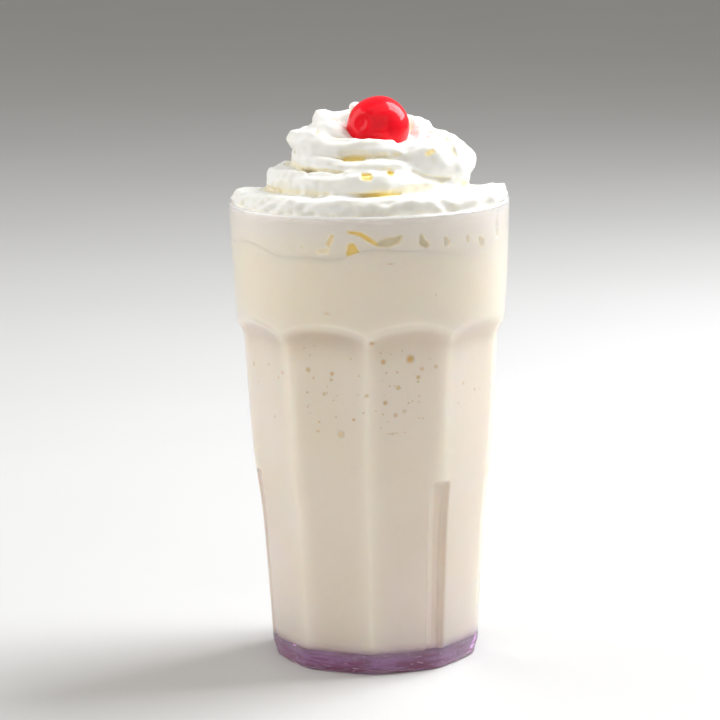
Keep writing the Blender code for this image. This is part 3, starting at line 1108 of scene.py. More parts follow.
    def levels(self, bottom: float, top: float, outside: bool) -> Array:
        """Return the levels of the wall's rows, closer together where the form bends.

        Args:
            bottom: Lowest row.
            top: Highest row.
            outside: Whether the rows are for the outer wall.

        Returns:
            The levels, rising.
        """
        crease = self.cusp_height + (0.0 if outside else self.inner_lift)
        rib_row = self.rib_row_outside if outside else self.rib_row_inside
        edge = self.foot_rounding if outside else self.floor_rounding
        turns = np.linspace(0.0, 0.5 * math.pi, self.corner_rows)
        parts = [
            np.linspace(bottom, top, self.even_rows),
            crease + np.arange(*self.shoulder_rows) * MM,
            crease + np.arange(*self.crease_rows) * MM,
            self.rib_top + np.arange(*self.rib_rows, rib_row) * MM,
            bottom + edge * (1.0 - np.cos(turns)),
        ]
        heights = np.unique(np.round(np.concatenate(parts), 6))
        heights = heights[(heights >= bottom) & (heights <= top)]
        return heights[np.append(True, np.diff(heights) > self.least_row_gap)]

    def underside(self, angles: Array) -> list[Array]:
        """Shape the underside: the shallow recess, its bank and the foot ring.

        Args:
            angles: Column angles in radians.

        Returns:
            The rings, from the middle outwards.
        """
        rings = [ring(angles, share * self.recess_radius, self.recess_depth) for share in (0.4, 0.8, 1.0)]
        for share in (0.25, 0.5, 0.75, 1.0):
            radius = self.recess_radius + share * (self.foot_ring_radius - self.recess_radius)
            fall = float(smooth_step(share, 0.0, 1.0))
            rings.append(ring(angles, radius, self.recess_depth * (1.0 - fall)))
        rings.append(ring(angles, 0.5 * (self.foot_ring_radius + self.underside_radius), 0.0))
        return rings

    def build(self) -> bpy.types.Object:
        """Build the tumbler: up the outer wall, over the rim, down the cavity and over the floor.

        Returns:
            The piece.
        """
        angles = self.columns()
        rings = self.underside(angles)
        rim_rounding = 0.5 * self.rim_wall
        shoulder = self.height - rim_rounding
        for level in self.levels(0.0, shoulder, True):
            heights = self.row_heights(angles, level)
            corner = self.foot_rounding * (1.0 - quarter_arc(np.clip(level / self.foot_rounding, 0.0, 1.0)))
            rings.append(ring(angles, self.outer(angles, heights) - corner, heights))
        for turn in np.linspace(0.0, math.pi, self.rim_rows)[1:-1]:
            radius = self.rim_radius - rim_rounding * (1.0 - math.cos(turn))
            rings.append(ring(angles, radius, shoulder + rim_rounding * math.sin(turn)))
        for level in self.levels(self.floor, shoulder, False)[::-1]:
            heights = self.row_heights(angles, level)
            rings.append(ring(angles, self.cavity(angles, heights), heights))
        floor_radius = self.underside_radius - self.floor_rounding
        rings += [ring(angles, share * floor_radius, self.floor) for share in (0.85, 0.6, 0.3)]
        poles = (Vector((0.0, 0.0, self.recess_depth)), Vector((0.0, 0.0, self.floor)))
        points, faces = skin_rings(rings, *poles)
        # the shade mark carries the wall's painted shade
        marks = {
            "thick": 1.0 - smooth_step(points[:, 2] - self.floor, *self.tint_fade),
            "shade": self.shade(points),
            "lip": smooth_step(points[:, 2] - self.height, *self.lip_fade),
        }
        piece = add_piece("tumbler_shell", points, faces, self.finish.material(), marks)
        return attach(piece, Node.TUMBLER)


# ---- smoothie ----

@dataclass
class Smoothie:
    """The drink, which wets the wall all round and ends in a wavy line."""

    tumbler: Tumbler
    finish: SmoothieFinish = SmoothieFinish()
    wetting: float = 0.08 * MM
    cream_line: float = 133.6 * MM
    line_wave: float = 1.6 * MM
    line_waves: int = 5
    line_phase: float = 0.8
    small_wave_share: float = 0.35
    small_waves: float = 13.0
    small_phase: float = 1.7
    calm_radius: float = 30.0 * MM
    bottom_radius: float = 28.0 * MM
    top_radius: float = 41.0 * MM
    straight_margin: float = 2.5 * MM
    meniscus_share: float = 0.998

    def top_height(self, angles: Array, radii: Array) -> Array:
        """Return the wavy height at which the drink ends and the cream begins.

        Args:
            angles: Angles in radians.
            radii: Distances from the axis; the waves die away towards it.

        Returns:
            One height for each place.
        """
        calm = smooth_step(radii, 0.0, self.calm_radius)
        wave = np.sin(self.line_waves * angles + self.line_phase) * calm
        fine = self.small_wave_share * np.sin(self.small_waves * angles + self.small_phase) * calm
        return self.cream_line + self.line_wave * (wave + fine)

    def wall_ring(self, angles: Array, heights: Array) -> Array:
        """Return a ring of the drink just inside the wall."""
        return ring(angles, self.tumbler.cavity(angles, heights) + self.wetting, heights)

    def build(self) -> bpy.types.Object:
        """Build the drink from the floor up to the wavy line.

        Returns:
            The piece.
        """
        form = self.tumbler
        angles = form.columns()
        bottom = form.floor - self.wetting
        rings = [ring(angles, share * self.bottom_radius, bottom) for share in (0.3, 0.6, 0.85)]
        straight_top = self.cream_line - self.straight_margin
        for level in form.levels(form.floor, straight_top, False):
            rings.append(self.wall_ring(angles, form.row_heights(angles, level)))
        edge = self.top_height(angles, form.rim_radius * np.ones_like(angles))
        for share in (0.35, 0.7, 0.98, 1.0):
            rings.append(self.wall_ring(angles, straight_top + share * (edge - straight_top)))
        rim = self.meniscus_share * np.hypot(rings[-1][:, 0], rings[-1][:, 1])
        rings.append(ring(angles, rim, self.top_height(angles, rim)))
        for share in (0.9, 0.7, 0.45, 0.2):
            radii = share * self.top_radius
            rings.append(ring(angles, radii, self.top_height(angles, radii)))
        poles = (Vector((0.0, 0.0, bottom)), Vector((0.0, 0.0, self.cream_line)))
        points, faces = skin_rings(rings, *poles)
        piece = add_piece("smoothie_fill", points, faces, self.finish.material())
        return attach(piece, Node.SMOOTHIE)


@dataclass(frozen=True)
class Bubble:
    """A bubble at the wall: angle in degrees, height and half height in metres, and its looks.

    Its strength is how much painted shade shows in its middle.
    """

    degrees: float
    height: float
    half: float
    strength: float = 0.8
    stretch: float = 1.0


@dataclass
class WallBubbles:
    """Air bubbles held against the wall: a few large ones in front and small ones all round.

    Large bubbles are (degrees, height, half height), the last two in millimetres, and then
    strength of painted shade and stretch along the wall where these aren't the usual ones. Each row
    of a bubble's mesh is its share of the radius, and whether it is on the wall's side.
    """

    tumbler: Tumbler
    smoothie: Smoothie
    finish: BubbleFinish = BubbleFinish()
    spokes: int = 14
    rows: tuple[tuple[float, bool], ...] = (
        (0.5, False), (1.0, False), (1.0, True), (0.85, True), (0.6, True), (0.3, True),
    )
    crown: float = 0.06 * MM
    crown_fullness: float = 1.1
    back: float = 0.25 * MM
    seed: int = 17
    specks_in_front: int = 44
    bubbles_elsewhere: int = 70
    front_degrees: Pair = (-34.0, 34.0)
    elsewhere_degrees: Pair = (42.0, 318.0)
    front_half_mm: Pair = (0.22, 0.46)
    elsewhere_half_mm: Pair = (0.20, 0.75)
    zone: Pair = (77.0 * MM, 105.0 * MM)
    strengths: Pair = (0.35, 0.75)
    large: tuple[tuple[float, ...], ...] = (
        (18.6, 100.4, 1.50, 1.0), (-0.4, 106.6, 0.86), (4.9, 100.0, 0.98), (12.3, 91.6, 0.86),
        (5.7, 87.2, 0.86), (22.7, 94.5, 0.80), (24.6, 97.0, 0.80, 0.5), (11.0, 83.0, 0.86, 0.5),
        (15.6, 84.1, 0.80, 0.5), (-9.0, 82.0, 0.63), (-16.0, 77.1, 1.21, 0.55), (-19.7, 96.1, 0.80),
        (-20.2, 94.2, 0.63, 0.6), (-24.2, 89.6, 0.69, 0.6), (-2.7, 89.8, 0.69, 0.6), (-32.4, 96.9, 0.86),
        (9.2, 77.4, 0.24, 0.45, 11.0), (31.6, 97.4, 0.80, 0.5), (-28.5, 77.7, 0.50, 0.4, 1.6),
        (-33.3, 89.8, 0.42), (8.0, 130.9, 0.34, 0.5, 4.0), (28.0, 120.5, 0.40, 0.5),
        (-19.0, 115.6, 0.46, 0.3, 3.0),
    )

    def all_bubbles(self) -> list[Bubble]:
        """List the large bubbles and the seeded small ones.

        Returns:
            All the bubbles.
        """
        draw = np.random.default_rng(self.seed)
        bubbles = [Bubble(turn, up * MM, half * MM, *looks) for turn, up, half, *looks in self.large]
        small = [(self.front_degrees, self.front_half_mm)] * self.specks_in_front
        small += [(self.elsewhere_degrees, self.elsewhere_half_mm)] * self.bubbles_elsewhere
        for degrees, half_mm in small:
            turn, up = draw.uniform(*degrees), draw.uniform(*self.zone)
            bubbles.append(Bubble(turn, up, draw.uniform(*half_mm) * MM, draw.uniform(*self.strengths)))
        return bubbles

    def lens(self, bubble: Bubble) -> tuple[Array, Array, Faces]:
        """Shape one bubble as a lens that is bedded in the drink and in the wall.

        Args:
            bubble: The bubble.

        Returns:
            Its points, the depth of painted shade at each, and its faces.
        """
        turns = np.linspace(0.0, 2.0 * math.pi, self.spokes, endpoint=False)
        middle = math.radians(bubble.degrees)
        radius = float(self.tumbler.inner(np.array([middle]), np.array([bubble.height]))[0])
        across = bubble.half * bubble.stretch / radius
        rings, depths = [], []
        for share, front in self.rows:
            angles = middle + across * share * np.sin(turns)
            heights = bubble.height - bubble.half * share * np.cos(turns)
            proud = self.smoothie.wetting + self.crown * (self.crown_fullness - share**2)
            radii = self.tumbler.inner(angles, heights) + (proud if front else -self.back)
            rings.append(ring(angles, radii, heights))
            depths.append(np.full(self.spokes, bubble.strength * (1.0 - share**3) if front else 0.0))
        poles = []
        for lift in (-self.back, self.smoothie.wetting + self.crown_fullness * self.crown):
            out = radius + lift
            poles.append(Vector((out * math.sin(middle), -out * math.cos(middle), bubble.height)))
        points, faces = skin_rings(rings, *poles)
        return points, np.concatenate([*depths, [0.0, bubble.strength]]), faces

    def build(self) -> bpy.types.Object:
        """Build all the bubbles as one mesh.

        Returns:
            The piece.
        """
        points, depths, faces, start = [], [], [], 0
        for bubble in self.all_bubbles():
            lens_points, lens_depths, lens_faces = self.lens(bubble)
            points.append(lens_points)
            depths.append(lens_depths)
            faces.extend([corner + start for corner in face] for face in lens_faces)
            start += len(lens_points)
        # depth carries each bubble's painted shade
        marks = {"depth": np.concatenate(depths)}
        piece = add_piece("wall_bubbles", np.concatenate(points), faces, self.finish.material(), marks)
        return attach(piece, Node.SMOOTHIE)


# ---- whipped cream ----

@dataclass(frozen=True)
class Strand:
    """A piped strand that winds round the axis.

    Each station is (turn, distance from the axis, height, radius), the last three in
    millimetres. Turns are counted from the right (+X) by way of the front.
    """

    stations: tuple[tuple[float, float, float, float], ...]
    ridges: int = 6
    ridge_depth: float = 0.04
    twist: float = 0.8
    end_gap: float = 0.2 * MM
    blend: float = 1.0 * MM

    def values(self, turns: Array) -> tuple[Array, ...]:
        """Return the strand's distance from the axis, height and radius at these turns."""
        places, *lengths = np.array(self.stations).T
        return tuple(smooth_curve(np.stack([places, length * MM], axis=1), turns) for length in lengths)

    def distance(self, points: Array) -> Array:
        """Measure the distance to the strand.

        Args:
            points: Points in metres, with the coordinates on the last axis.

        Returns:
            One distance for each point, negative inside the strand.
        """
        x, y, z = np.moveaxis(points, -1, 0)
        base = np.mod(-np.arctan2(y, x) / (2.0 * math.pi), 1.0)
        radius = np.hypot(x, y)
        first, last = self.stations[0][0], self.stations[-1][0]
        nearest = np.full(points.shape[:-1], FAR)
        for whole_turns in range(math.floor(first) - 1, math.ceil(last) + 1):
            turns = base + whole_turns
            path, height, thickness = self.values(turns)
            outward = radius - path
            upward = z - height
            around = np.arctan2(upward, outward) + 2.0 * math.pi * self.twist * turns
            ridged = thickness * (1.0 + self.ridge_depth * np.cos(self.ridges * around))
            distance = np.hypot(outward, upward) - ridged
            beyond = np.maximum(first - turns, turns - last) * 2.0 * math.pi * radius
            ended = np.hypot(np.maximum(distance, 0.0), beyond) + self.end_gap
            nearest = soft_union(nearest, np.where(beyond > 0.0, ended, distance), self.blend)
        return nearest


@dataclass(frozen=True)
class Dollop:
    """An ellipsoid of cream."""

    centre: Triple
    half: Triple
    tilted_degrees: float = 0.0

    def distance(self, points: Array) -> Array:
        """Measure the rough distance to the ellipsoid.

        Args:
            points: Points in metres, with the coordinates on the last axis.

        Returns:
            One distance for each point, negative inside the ellipsoid.
        """
        half = np.array(self.half)
        turn = Matrix.Rotation(math.radians(self.tilted_degrees), 3, "Y")
        scaled = (points - np.array(self.centre)) @ np.array(turn) / half
        length = np.linalg.norm(scaled, axis=-1)
        stretch = np.linalg.norm(scaled / half, axis=-1)
        return length * (length - 1.0) / np.maximum(stretch, 1e-9)


@dataclass(frozen=True)
class Stroke:
    """A mark with round ends, pressed into a surface; each point is (across, up, half width).

    Its tint is how much painted shade fills it; at the wall, grey is the share of that shade that is olive.
    """

    depth: float
    tint: float
    grey: float
    points: tuple[Triple, ...]

    def distance(self, across: Array, up: Array) -> Array:
        """Measure the distance to the mark's outline, along the surface.

        Args:
            across: Places across the surface.
            up: Heights on the surface.

        Returns:
            One distance for each place, negative inside the mark.
        """
        nearest = np.full(across.shape, FAR)
        stops = self.points if len(self.points) > 1 else self.points * 2
        for (x0, z0, w0), (x1, z1, w1) in zip(stops, stops[1:]):
            run_x, run_z = x1 - x0, z1 - z0
            length = max(run_x**2 + run_z**2, 1e-12)
            share = np.clip(((across - x0) * run_x + (up - z0) * run_z) / length, 0.0, 1.0)
            away = np.hypot(across - x0 - share * run_x, up - z0 - share * run_z)
            nearest = np.minimum(nearest, away - (w0 + (w1 - w0) * share))
        return nearest


def stroke(depth: float, tint: float, grey: float, *points: Triple) -> Stroke:
    """Return a stroke whose depth and points are given in millimetres."""
    return Stroke(depth * MM, tint, grey, in_mm(*points))


@dataclass
class WhippedCream:
    """The cream that closes the mouth, and the piped swirl on it.

    A band is a pair of ends between which something eases.
    """

    tumbler: Tumbler
    smoothie: Smoothie
    cherry_centre: Vector
    cherry_radius: float
    finish: CreamFinish = CreamFinish()
    step: float = 0.56 * MM
    net_margin: float = 1.0 * MM
    net_bottom: float = 129.5 * MM
    net_top: float = 179.0 * MM
    settling_passes: int = 2
    wetting: float = 0.06 * MM
    plug_top: float = 144.9 * MM
    plug_roughness: float = 0.3
    overlap: float = 2.4 * MM
    tuck: float = 0.4 * MM
    tuck_band: Pair = (-2.2 * MM, -1.2 * MM)
    bed_radius: float = 41.5 * MM
    side_reach: float = 1.6 * MM
    side_power: int = 4
    overhang: float = 1.3 * MM
    overhang_band: Pair = (0.1 * MM, 0.5 * MM)
    bed_front: float = 150.3 * MM
    bed_left: float = 149.5 * MM
    bed_right: float = 149.0 * MM
    bed_back: float = 146.0 * MM
    bed_back_band: Pair = (0.0, 0.5)
    bed_rounding: float = 2.2 * MM
    slope_rounding: float = 3.6 * MM
    slope_angle_degrees: float = -82.0
    slope_band_degrees: Pair = (20.0, 55.0)
    ragged_front: float = 0.35
    ragged_scale: Triple = (1.0, 1.0, 1.5)
    core_top: float = 166.0 * MM
    core_offset: float = 1.0 * MM
    core_profile: tuple[Pair, ...] = in_mm(
        (149.0, 29.0), (155.5, 26.0), (159.4, 23.2), (160.8, 18.4), (163.0, 15.6), (166.0, 10.5),
    )
    combing_squeeze: float = 0.12
    strand_blend: float = 1.1 * MM
    dollop_blend: float = 1.6 * MM
    bed_blend: float = 1.0 * MM
    plug_blend: float = 0.5 * MM
    front_edge: float = 0.8 * MM
    wall_edge: float = 0.4 * MM
    pocket_gap: float = 0.1 * MM
    sight_slope: float = 0.125
    sight_plane: float = -25.0 * MM
    # painted shade in folds and pits: how far the fold probe reaches, where its shade eases, its strength
    fold_reach: float = 3.0 * MM
    fold_band: Pair = (0.35, 1.0)
    crease_shade_strength: float = 0.30
    # bands over which the painted shade of front pits and wall hollows eases
    front_tint_band: Pair = (-0.1 * MM, 0.5 * MM)
    wall_tint_band: Pair = (-0.1 * MM, 0.4 * MM)
    at_wall_band: Pair = (-3.5 * MM, -2.5 * MM)
    stain_tint: float = 0.6
    stain_band: Pair = (0.1 * MM, 1.4 * MM)
    soak_band: Pair = (-0.6 * MM, -0.1 * MM)
    rise_band: Pair = (132.5 * MM, 142.0 * MM)
    strands: tuple[Strand, ...] = (
        Strand(
            (
                (0.06, 22.0, 151.0, 2.0), (0.14, 25.0, 151.8, 3.0), (0.19, 26.4, 152.2, 4.1),
                (0.25, 27.6, 152.8, 4.3), (0.32, 28.2, 152.8, 4.3), (0.42, 28.3, 152.6, 4.4),
                (0.50, 27.6, 152.2, 4.4), (0.60, 25.6, 151.6, 4.6), (0.75, 26.0, 154.0, 6.3),
                (0.90, 25.0, 155.0, 7.8), (1.00, 24.4, 155.8, 8.8), (1.08, 23.2, 157.6, 7.8),
                (1.13, 21.6, 158.6, 5.6), (1.165, 19.6, 160.2, 4.0), (1.19, 18.8, 162.0, 3.7),
                (1.25, 18.6, 162.4, 3.6), (1.32, 18.8, 162.0, 3.8), (1.40, 20.5, 163.7, 4.2),
                (1.48, 22.5, 165.0, 2.9), (1.56, 20.5, 164.0, 3.3), (1.75, 18.5, 163.6, 6.0),
                (1.95, 15.4, 162.2, 7.3), (2.03, 15.4, 160.2, 5.2), (2.15, 11.5, 158.2, 5.0),
                (2.30, 9.5, 160.5, 5.0), (2.42, 13.4, 167.4, 3.8), (2.50, 14.5, 171.0, 2.7),
                (2.60, 12.5, 168.8, 3.2), (2.75, 6.5, 168.8, 4.2), (3.00, 7.0, 166.4, 5.8),
                (3.10, 5.0, 165.0, 3.0),
            )
        ),
        Strand(
            (
                (0.08, 17.0, 157.0, 2.0), (0.16, 21.0, 157.2, 2.8), (0.25, 24.0, 157.5, 2.8),
                (0.32, 24.2, 157.5, 2.8), (0.38, 24.0, 158.4, 2.9), (0.43, 21.6, 158.2, 2.9),
                (0.50, 21.0, 158.4, 3.2), (0.60, 21.0, 159.8, 4.0), (0.75, 20.0, 160.0, 5.0),
                (0.95, 18.0, 161.0, 4.0),
            ),
            ridges=4,
        ),
    )
    dollops: tuple[Dollop, ...] = (
        Dollop(*in_mm((-12.5, -2.5, 165.2), (9.2, 9.0, 4.8))),
        Dollop(*in_mm((21.2, 2.0, 161.2), (5.5, 8.0, 5.4))),
        Dollop(*in_mm((15.4, -8.0, 158.4), (8.0, 8.0, 5.2)), tilted_degrees=14.0),
        Dollop(*in_mm((-3.6, 5.0, 173.0), (2.2, 2.6, 2.2))),
        Dollop(*in_mm((38.6, -4.0, 147.6), (2.6, 5.0, 2.0))),
        Dollop(*in_mm((-5.5, 5.2, 167.0), (5.2, 4.6, 3.8))),
    )
    # marks pressed into the front; each one's tint is the painted shade in its pit
    front_strokes: tuple[Stroke, ...] = (
        stroke(0.8, 1.0, 0.0, (-1.6, 155.3, 0.9), (0.0, 155.2, 0.9)),
        stroke(0.6, 1.0, 0.0, (6.2, 156.1, 0.6), (6.9, 156.0, 0.5)),
        stroke(0.8, 1.0, 0.0, (-7.6, 160.7, 0.3), (-4.6, 160.8, 0.5), (-1.6, 160.8, 0.3)),
        stroke(0.6, 0.8, 0.0, (18.2, 162.2, 0.6), (19.6, 162.9, 0.5)),
        stroke(0.3, 0.6, 0.0, (-15.9, 169.2, 0.4)),
        stroke(
            0.35, 0.35, 0.0,
            (13.2, 172.0, 0.3), (17.6, 170.6, 0.9), (21.6, 168.6, 1.2), (24.6, 164.4, 1.2), (26.6, 161.2, 0.5),
        ),
        stroke(0.35, 0.25, 0.0, (7.0, 150.6, 0.5), (12.0, 151.2, 1.3), (17.0, 151.6, 1.2), (22.4, 152.4, 0.2)),
        stroke(0.8, 0.08, 0.0, (13.4, 156.6, 0.4), (17.0, 154.8, 0.8), (22.0, 153.9, 0.8), (25.0, 154.6, 0.2)),
        stroke(0.22, 0.0, 0.0, (-18.6, 160.5, 0.2), (-13.0, 159.1, 0.4), (-8.0, 158.0, 0.2)),
        stroke(0.4, 0.0, 0.0, (-18.0, 156.6, 1.0), (-13.0, 156.2, 1.5), (-8.0, 156.0, 0.8)),
        stroke(0.4, 0.0, 0.0, (-8.3, 162.4, 0.6), (-3.0, 162.2, 1.0), (5.0, 161.9, 0.6)),
        stroke(0.3, 0.35, 0.0, (8.0, 161.9, 0.5), (9.2, 162.0, 0.4)),
        stroke(0.15, 0.10, 0.0, (-29.2, 153.6, 0.4), (-25.6, 153.2, 0.8)),
        stroke(0.3, 1.0, 0.0, (-2.4, 149.5, 0.15), (3.2, 149.7, 0.5), (9.2, 149.9, 0.2)),
    )
    # hollows pressed into the cream at the wall; their tint is painted amber and olive shade
    wall_strokes: tuple[Stroke, ...] = (
        stroke(0.4, 0.4, 0.7, (-22.3, 135.7, 0.4)),
        stroke(0.6, 0.5, 0.0, (-12.0, 139.6, 0.4), (-13.4, 137.0, 0.6)),
        stroke(0.4, 0.35, 0.2, (-16.6, 134.6, 0.5), (-13.8, 134.9, 0.7)),
        stroke(0.9, 0.85, 0.0, (-5.8, 136.0, 1.3), (-5.6, 134.4, 2.0)),
        stroke(0.7, 0.9, 0.0, (-6.6, 140.8, 0.2), (-3.0, 140.1, 0.5), (-0.6, 138.6, 0.6), (2.0, 136.9, 0.3)),
        stroke(1.0, 0.6, 0.8, (3.0, 137.1, 0.8), (5.6, 137.5, 1.3), (8.4, 138.1, 0.9), (9.8, 139.2, 0.3)),
        stroke(0.8, 0.6, 1.0, (16.3, 139.4, 0.2), (16.8, 137.0, 1.0), (18.0, 136.3, 0.9)),
        stroke(0.7, 0.4, 0.9, (25.0, 137.6, 0.5), (25.6, 136.2, 1.0)),
        stroke(0.5, 0.4, 1.0, (33.9, 137.4, 0.3), (34.0, 135.9, 0.4)),
        stroke(0.7, 0.55, 0.9, (39.7, 136.0, 0.6), (41.0, 134.6, 1.2)),
        stroke(0.7, 0.25, 1.0, (50.4, 143.0, 0.4), (50.5, 139.0, 1.2), (50.4, 135.8, 0.7)),
        stroke(0.5, 0.3, 1.0, (-58.2, 134.0, 0.3), (-58.3, 132.6, 0.5)),
    )
    billow: Ripple = Ripple(13.0 * MM, 0.32 * MM, 11)
    crumple: Ripple = Ripple(4.2 * MM, 0.12 * MM, 23)
    combing: Ripple = Ripple(2.6 * MM, 0.10 * MM, 31)
    raggedness: Ripple = Ripple(5.5 * MM, 0.55 * MM, 47)

    def line(self, points: Array) -> Array:
        """Return the height at which the drink ends, over or under these points."""
        return self.smoothie.top_height(angle_of(points), np.hypot(points[..., 0], points[..., 1]))

    def bed_top(self, angle: Array) -> Array:
        """Shape the top of the layer in the mouth.

        Args:
            angle: Angles in radians from the front.

        Returns:
            Its height, which is greatest in front and least at the back.
        """
        side = 0.5 * (1.0 + np.sin(angle))
        middle = self.bed_left + (self.bed_right - self.bed_left) * side
        front = np.clip(np.cos(angle), 0.0, 1.0) ** 2
        back = smooth_step(-np.cos(angle), *self.bed_back_band)
        return middle + (self.bed_front - middle) * front + (self.bed_back - middle) * back

    def bed(self, points: Array) -> Array:
        """Measure the distance to the layer in the mouth, with its rounded and ragged edge.

        Args:
            points: Points in metres, with the coordinates on the last axis.

        Returns:
            One distance for each point, negative inside the layer.
        """
        x, y, z = np.moveaxis(points, -1, 0)
        angle = angle_of(points)
        away = np.abs(np.degrees(angle) - self.slope_angle_degrees)
        sloping = 1.0 - smooth_step(away, *self.slope_band_degrees)
        rounding = self.bed_rounding + self.slope_rounding * sloping
        ragged = self.raggedness.at(points * np.array(self.ragged_scale))
        ragged *= self.ragged_front + (1.0 - self.ragged_front) * np.abs(np.sin(angle))
        reach = self.bed_radius + self.side_reach * np.sin(angle) ** self.side_power
        outward = np.hypot(x, y) - (reach + ragged - rounding)
        upward = z - (self.bed_top(angle) - rounding)
        outside = np.hypot(np.maximum(outward, 0.0), np.maximum(upward, 0.0))
        return outside + np.minimum(np.maximum(outward, upward), 0.0) - rounding

    def core(self, points: Array) -> Array:
        """Measure the distance to the rounded cone inside the swirl.

        Args:
            points: Points in metres, with the coordinates on the last axis.

        Returns:
            One distance for each point, negative inside the cone.
        """
        x, y, z = np.moveaxis(points, -1, 0)
        allowed = np.interp(z, *np.array(self.core_profile).T)
        return np.maximum(np.hypot(x - self.core_offset, y) - allowed, z - self.core_top)

    def edge(self, points: Array) -> Array:
        """Measure how far points are past the wall inside the tumbler.

        Args:
            points: Points in metres, with the coordinates on the last axis.

        Returns:
            One distance for each point, negative inside what the cream may fill.
        """
        x, y, z = np.moveaxis(points, -1, 0)
        height = self.tumbler.height
        wall = self.tumbler.inner(angle_of(points), np.minimum(z, height))
        low, high = self.overhang_band
        over = self.overhang * smooth_step(z, height + low, height + high)
        line = self.line(points)
        low, high = self.tuck_band
        tucked = self.tuck * (1.0 - smooth_step(z, line + low, line + high))
        return np.hypot(x, y) - (wall + self.wetting + over - tucked)

    def on_sight(self, points: Array) -> tuple[Array, Array]:
        """Return where points seem to lie on an upright plane in front of the swirl."""
        up = points[..., 2] + self.sight_slope * (points[..., 1] - self.sight_plane)
        return points[..., 0], up

    def on_wall(self, points: Array) -> tuple[Array, Array]:
        """Return the distance round the wall and the height."""
        return angle_of(points) * self.tumbler.rim_radius, points[..., 2]

    def swirl(self, points: Array) -> Array:
        """Measure the distance to the smooth swirl, without the bed.

        Args:
            points: Points in metres, with the coordinates on the last axis.

        Returns:
            One distance for each point, negative inside the swirl.
        """
        swirl = self.core(points)
        for strand in self.strands:
            swirl = soft_union(swirl, strand.distance(points), self.strand_blend)
        for dollop in self.dollops:
            swirl = soft_union(swirl, dollop.distance(points), self.dollop_blend)
        return swirl

    def distance(self, points: Array) -> Array:
        """Measure the distance to the whole cream.

        Args:
            points: Points in metres, with the coordinates on the last axis.

        Returns:
            One distance for each point, negative inside the cream.
        """
        x, y, z = np.moveaxis(points, -1, 0)
        squeeze = self.combing_squeeze
        combed = np.stack([np.hypot(x, y) + squeeze * x, squeeze * y, z], axis=-1)
        rough = self.billow.at(points) + self.crumple.at(points) + self.combing.at(combed)
        swirl = soft_union(self.swirl(points), self.bed(points), self.bed_blend) + rough
        marked = swirl
        sight = self.on_sight(points)
        for stroke in self.front_strokes:
            pressed = np.maximum(stroke.distance(*sight), -swirl - stroke.depth)
            marked = soft_cut(marked, np.maximum(pressed, y), self.front_edge)
        away = np.linalg.norm(points - np.array(self.cherry_centre), axis=-1)
        marked = soft_cut(marked, away - (self.cherry_radius - self.pocket_gap), self.front_edge)
        edge = self.edge(points)
        plug = np.maximum(edge, z - self.plug_top - self.plug_roughness * rough)
        whole = np.maximum(soft_union(np.maximum(marked, edge), plug, self.plug_blend), edge)
        wall = self.on_wall(points)
        for stroke in self.wall_strokes:
            pressed = np.maximum(stroke.distance(*wall), -edge - stroke.depth)
            whole = soft_cut(whole, pressed, self.wall_edge)
        return np.maximum(whole, self.line(points) - self.overlap - z)

    def painted_crease_shade(self, points: Array) -> Array:
        """Work out the painted shade at each point, from how deep in a fold or a pressed pit it lies.

        Args:
            points: Points of the surface, one row each.

        Returns:
            One value from 0 to 1 for each point.
        """
        outward = field_slope(self.distance, points)
        openness = self.distance(points + outward * self.fold_reach) / self.fold_reach
        crease_shade = self.crease_shade_strength * smooth_step(1.0 - openness, *self.fold_band)
        sight = self.on_sight(points)
        for stroke in self.front_strokes:
            pressed = 1.0 - smooth_step(stroke.distance(*sight), *self.front_tint_band)
            crease_shade = np.maximum(crease_shade, np.where(points[:, 1] < 0.0, pressed, 0.0) * stroke.tint)
        return crease_shade

    def marks(self, points: Array) -> dict[str, Array]:
        """Work out the values that the finish reads.

        Args:
            points: Points of the surface, one row each.

        Returns:
            Painted shade in folds and pits, cherry stain, drink at the wall, its height, and the two
            colours of painted shade in the hollows at the wall, by name.
        """
        wall = self.on_wall(points)
        edge = self.edge(points)
        at_wall = smooth_step(edge, *self.at_wall_band)
        amber_shade, olive_shade = np.zeros(len(points)), np.zeros(len(points))
        # painted amber and olive shade in the hollows at the wall
        for stroke in self.wall_strokes:
            pressed = 1.0 - smooth_step(stroke.distance(*wall), *self.wall_tint_band)
            amber_shade = np.maximum(amber_shade, pressed * at_wall * stroke.tint * (1.0 - stroke.grey))
            olive_shade = np.maximum(olive_shade, pressed * at_wall * stroke.tint * stroke.grey)
        near = np.linalg.norm(points - np.array(self.cherry_centre), axis=1) - self.cherry_radius
        return {
            "crease_shade": self.painted_crease_shade(points),
            "stain": self.stain_tint * (1.0 - smooth_step(near, *self.stain_band)),
            "soak": smooth_step(edge, *self.soak_band),
            "rise": smooth_step(points[:, 2], *self.rise_band),
            "amber_shade": amber_shade,
            "olive_shade": olive_shade,
        }

    def build(self) -> bpy.types.Object:
        """Build the cream as a net over its distance field.

        Returns:
            The piece.
        """
        reach = self.tumbler.rim_radius + self.net_margin
        low = np.array([-reach, -reach, self.net_bottom])
        high = np.array([reach, reach, self.net_top])
        counts = np.ceil((high - low) / self.step).astype(int) + 1
        across, along, up = (low[axis] + self.step * np.arange(counts[axis]) for axis in range(3))
        x, y = np.meshgrid(across, along, indexing="ij")
        slabs = [self.distance(np.stack([x, y, np.full_like(x, level)], axis=-1)) for level in up]
        points, quads = net_surface(np.stack(slabs, axis=-1), low, self.step)
        for _ in range(self.settling_passes):
            slope = field_slope(self.distance, points)
            points = points - slope * np.clip(self.distance(points), -self.step, self.step)[:, None]
        piece = add_piece("cream_swirl", points, quads, self.finish.material(), self.marks(points))
        return attach(piece, Node.CREAM)


# ---- cherry ----

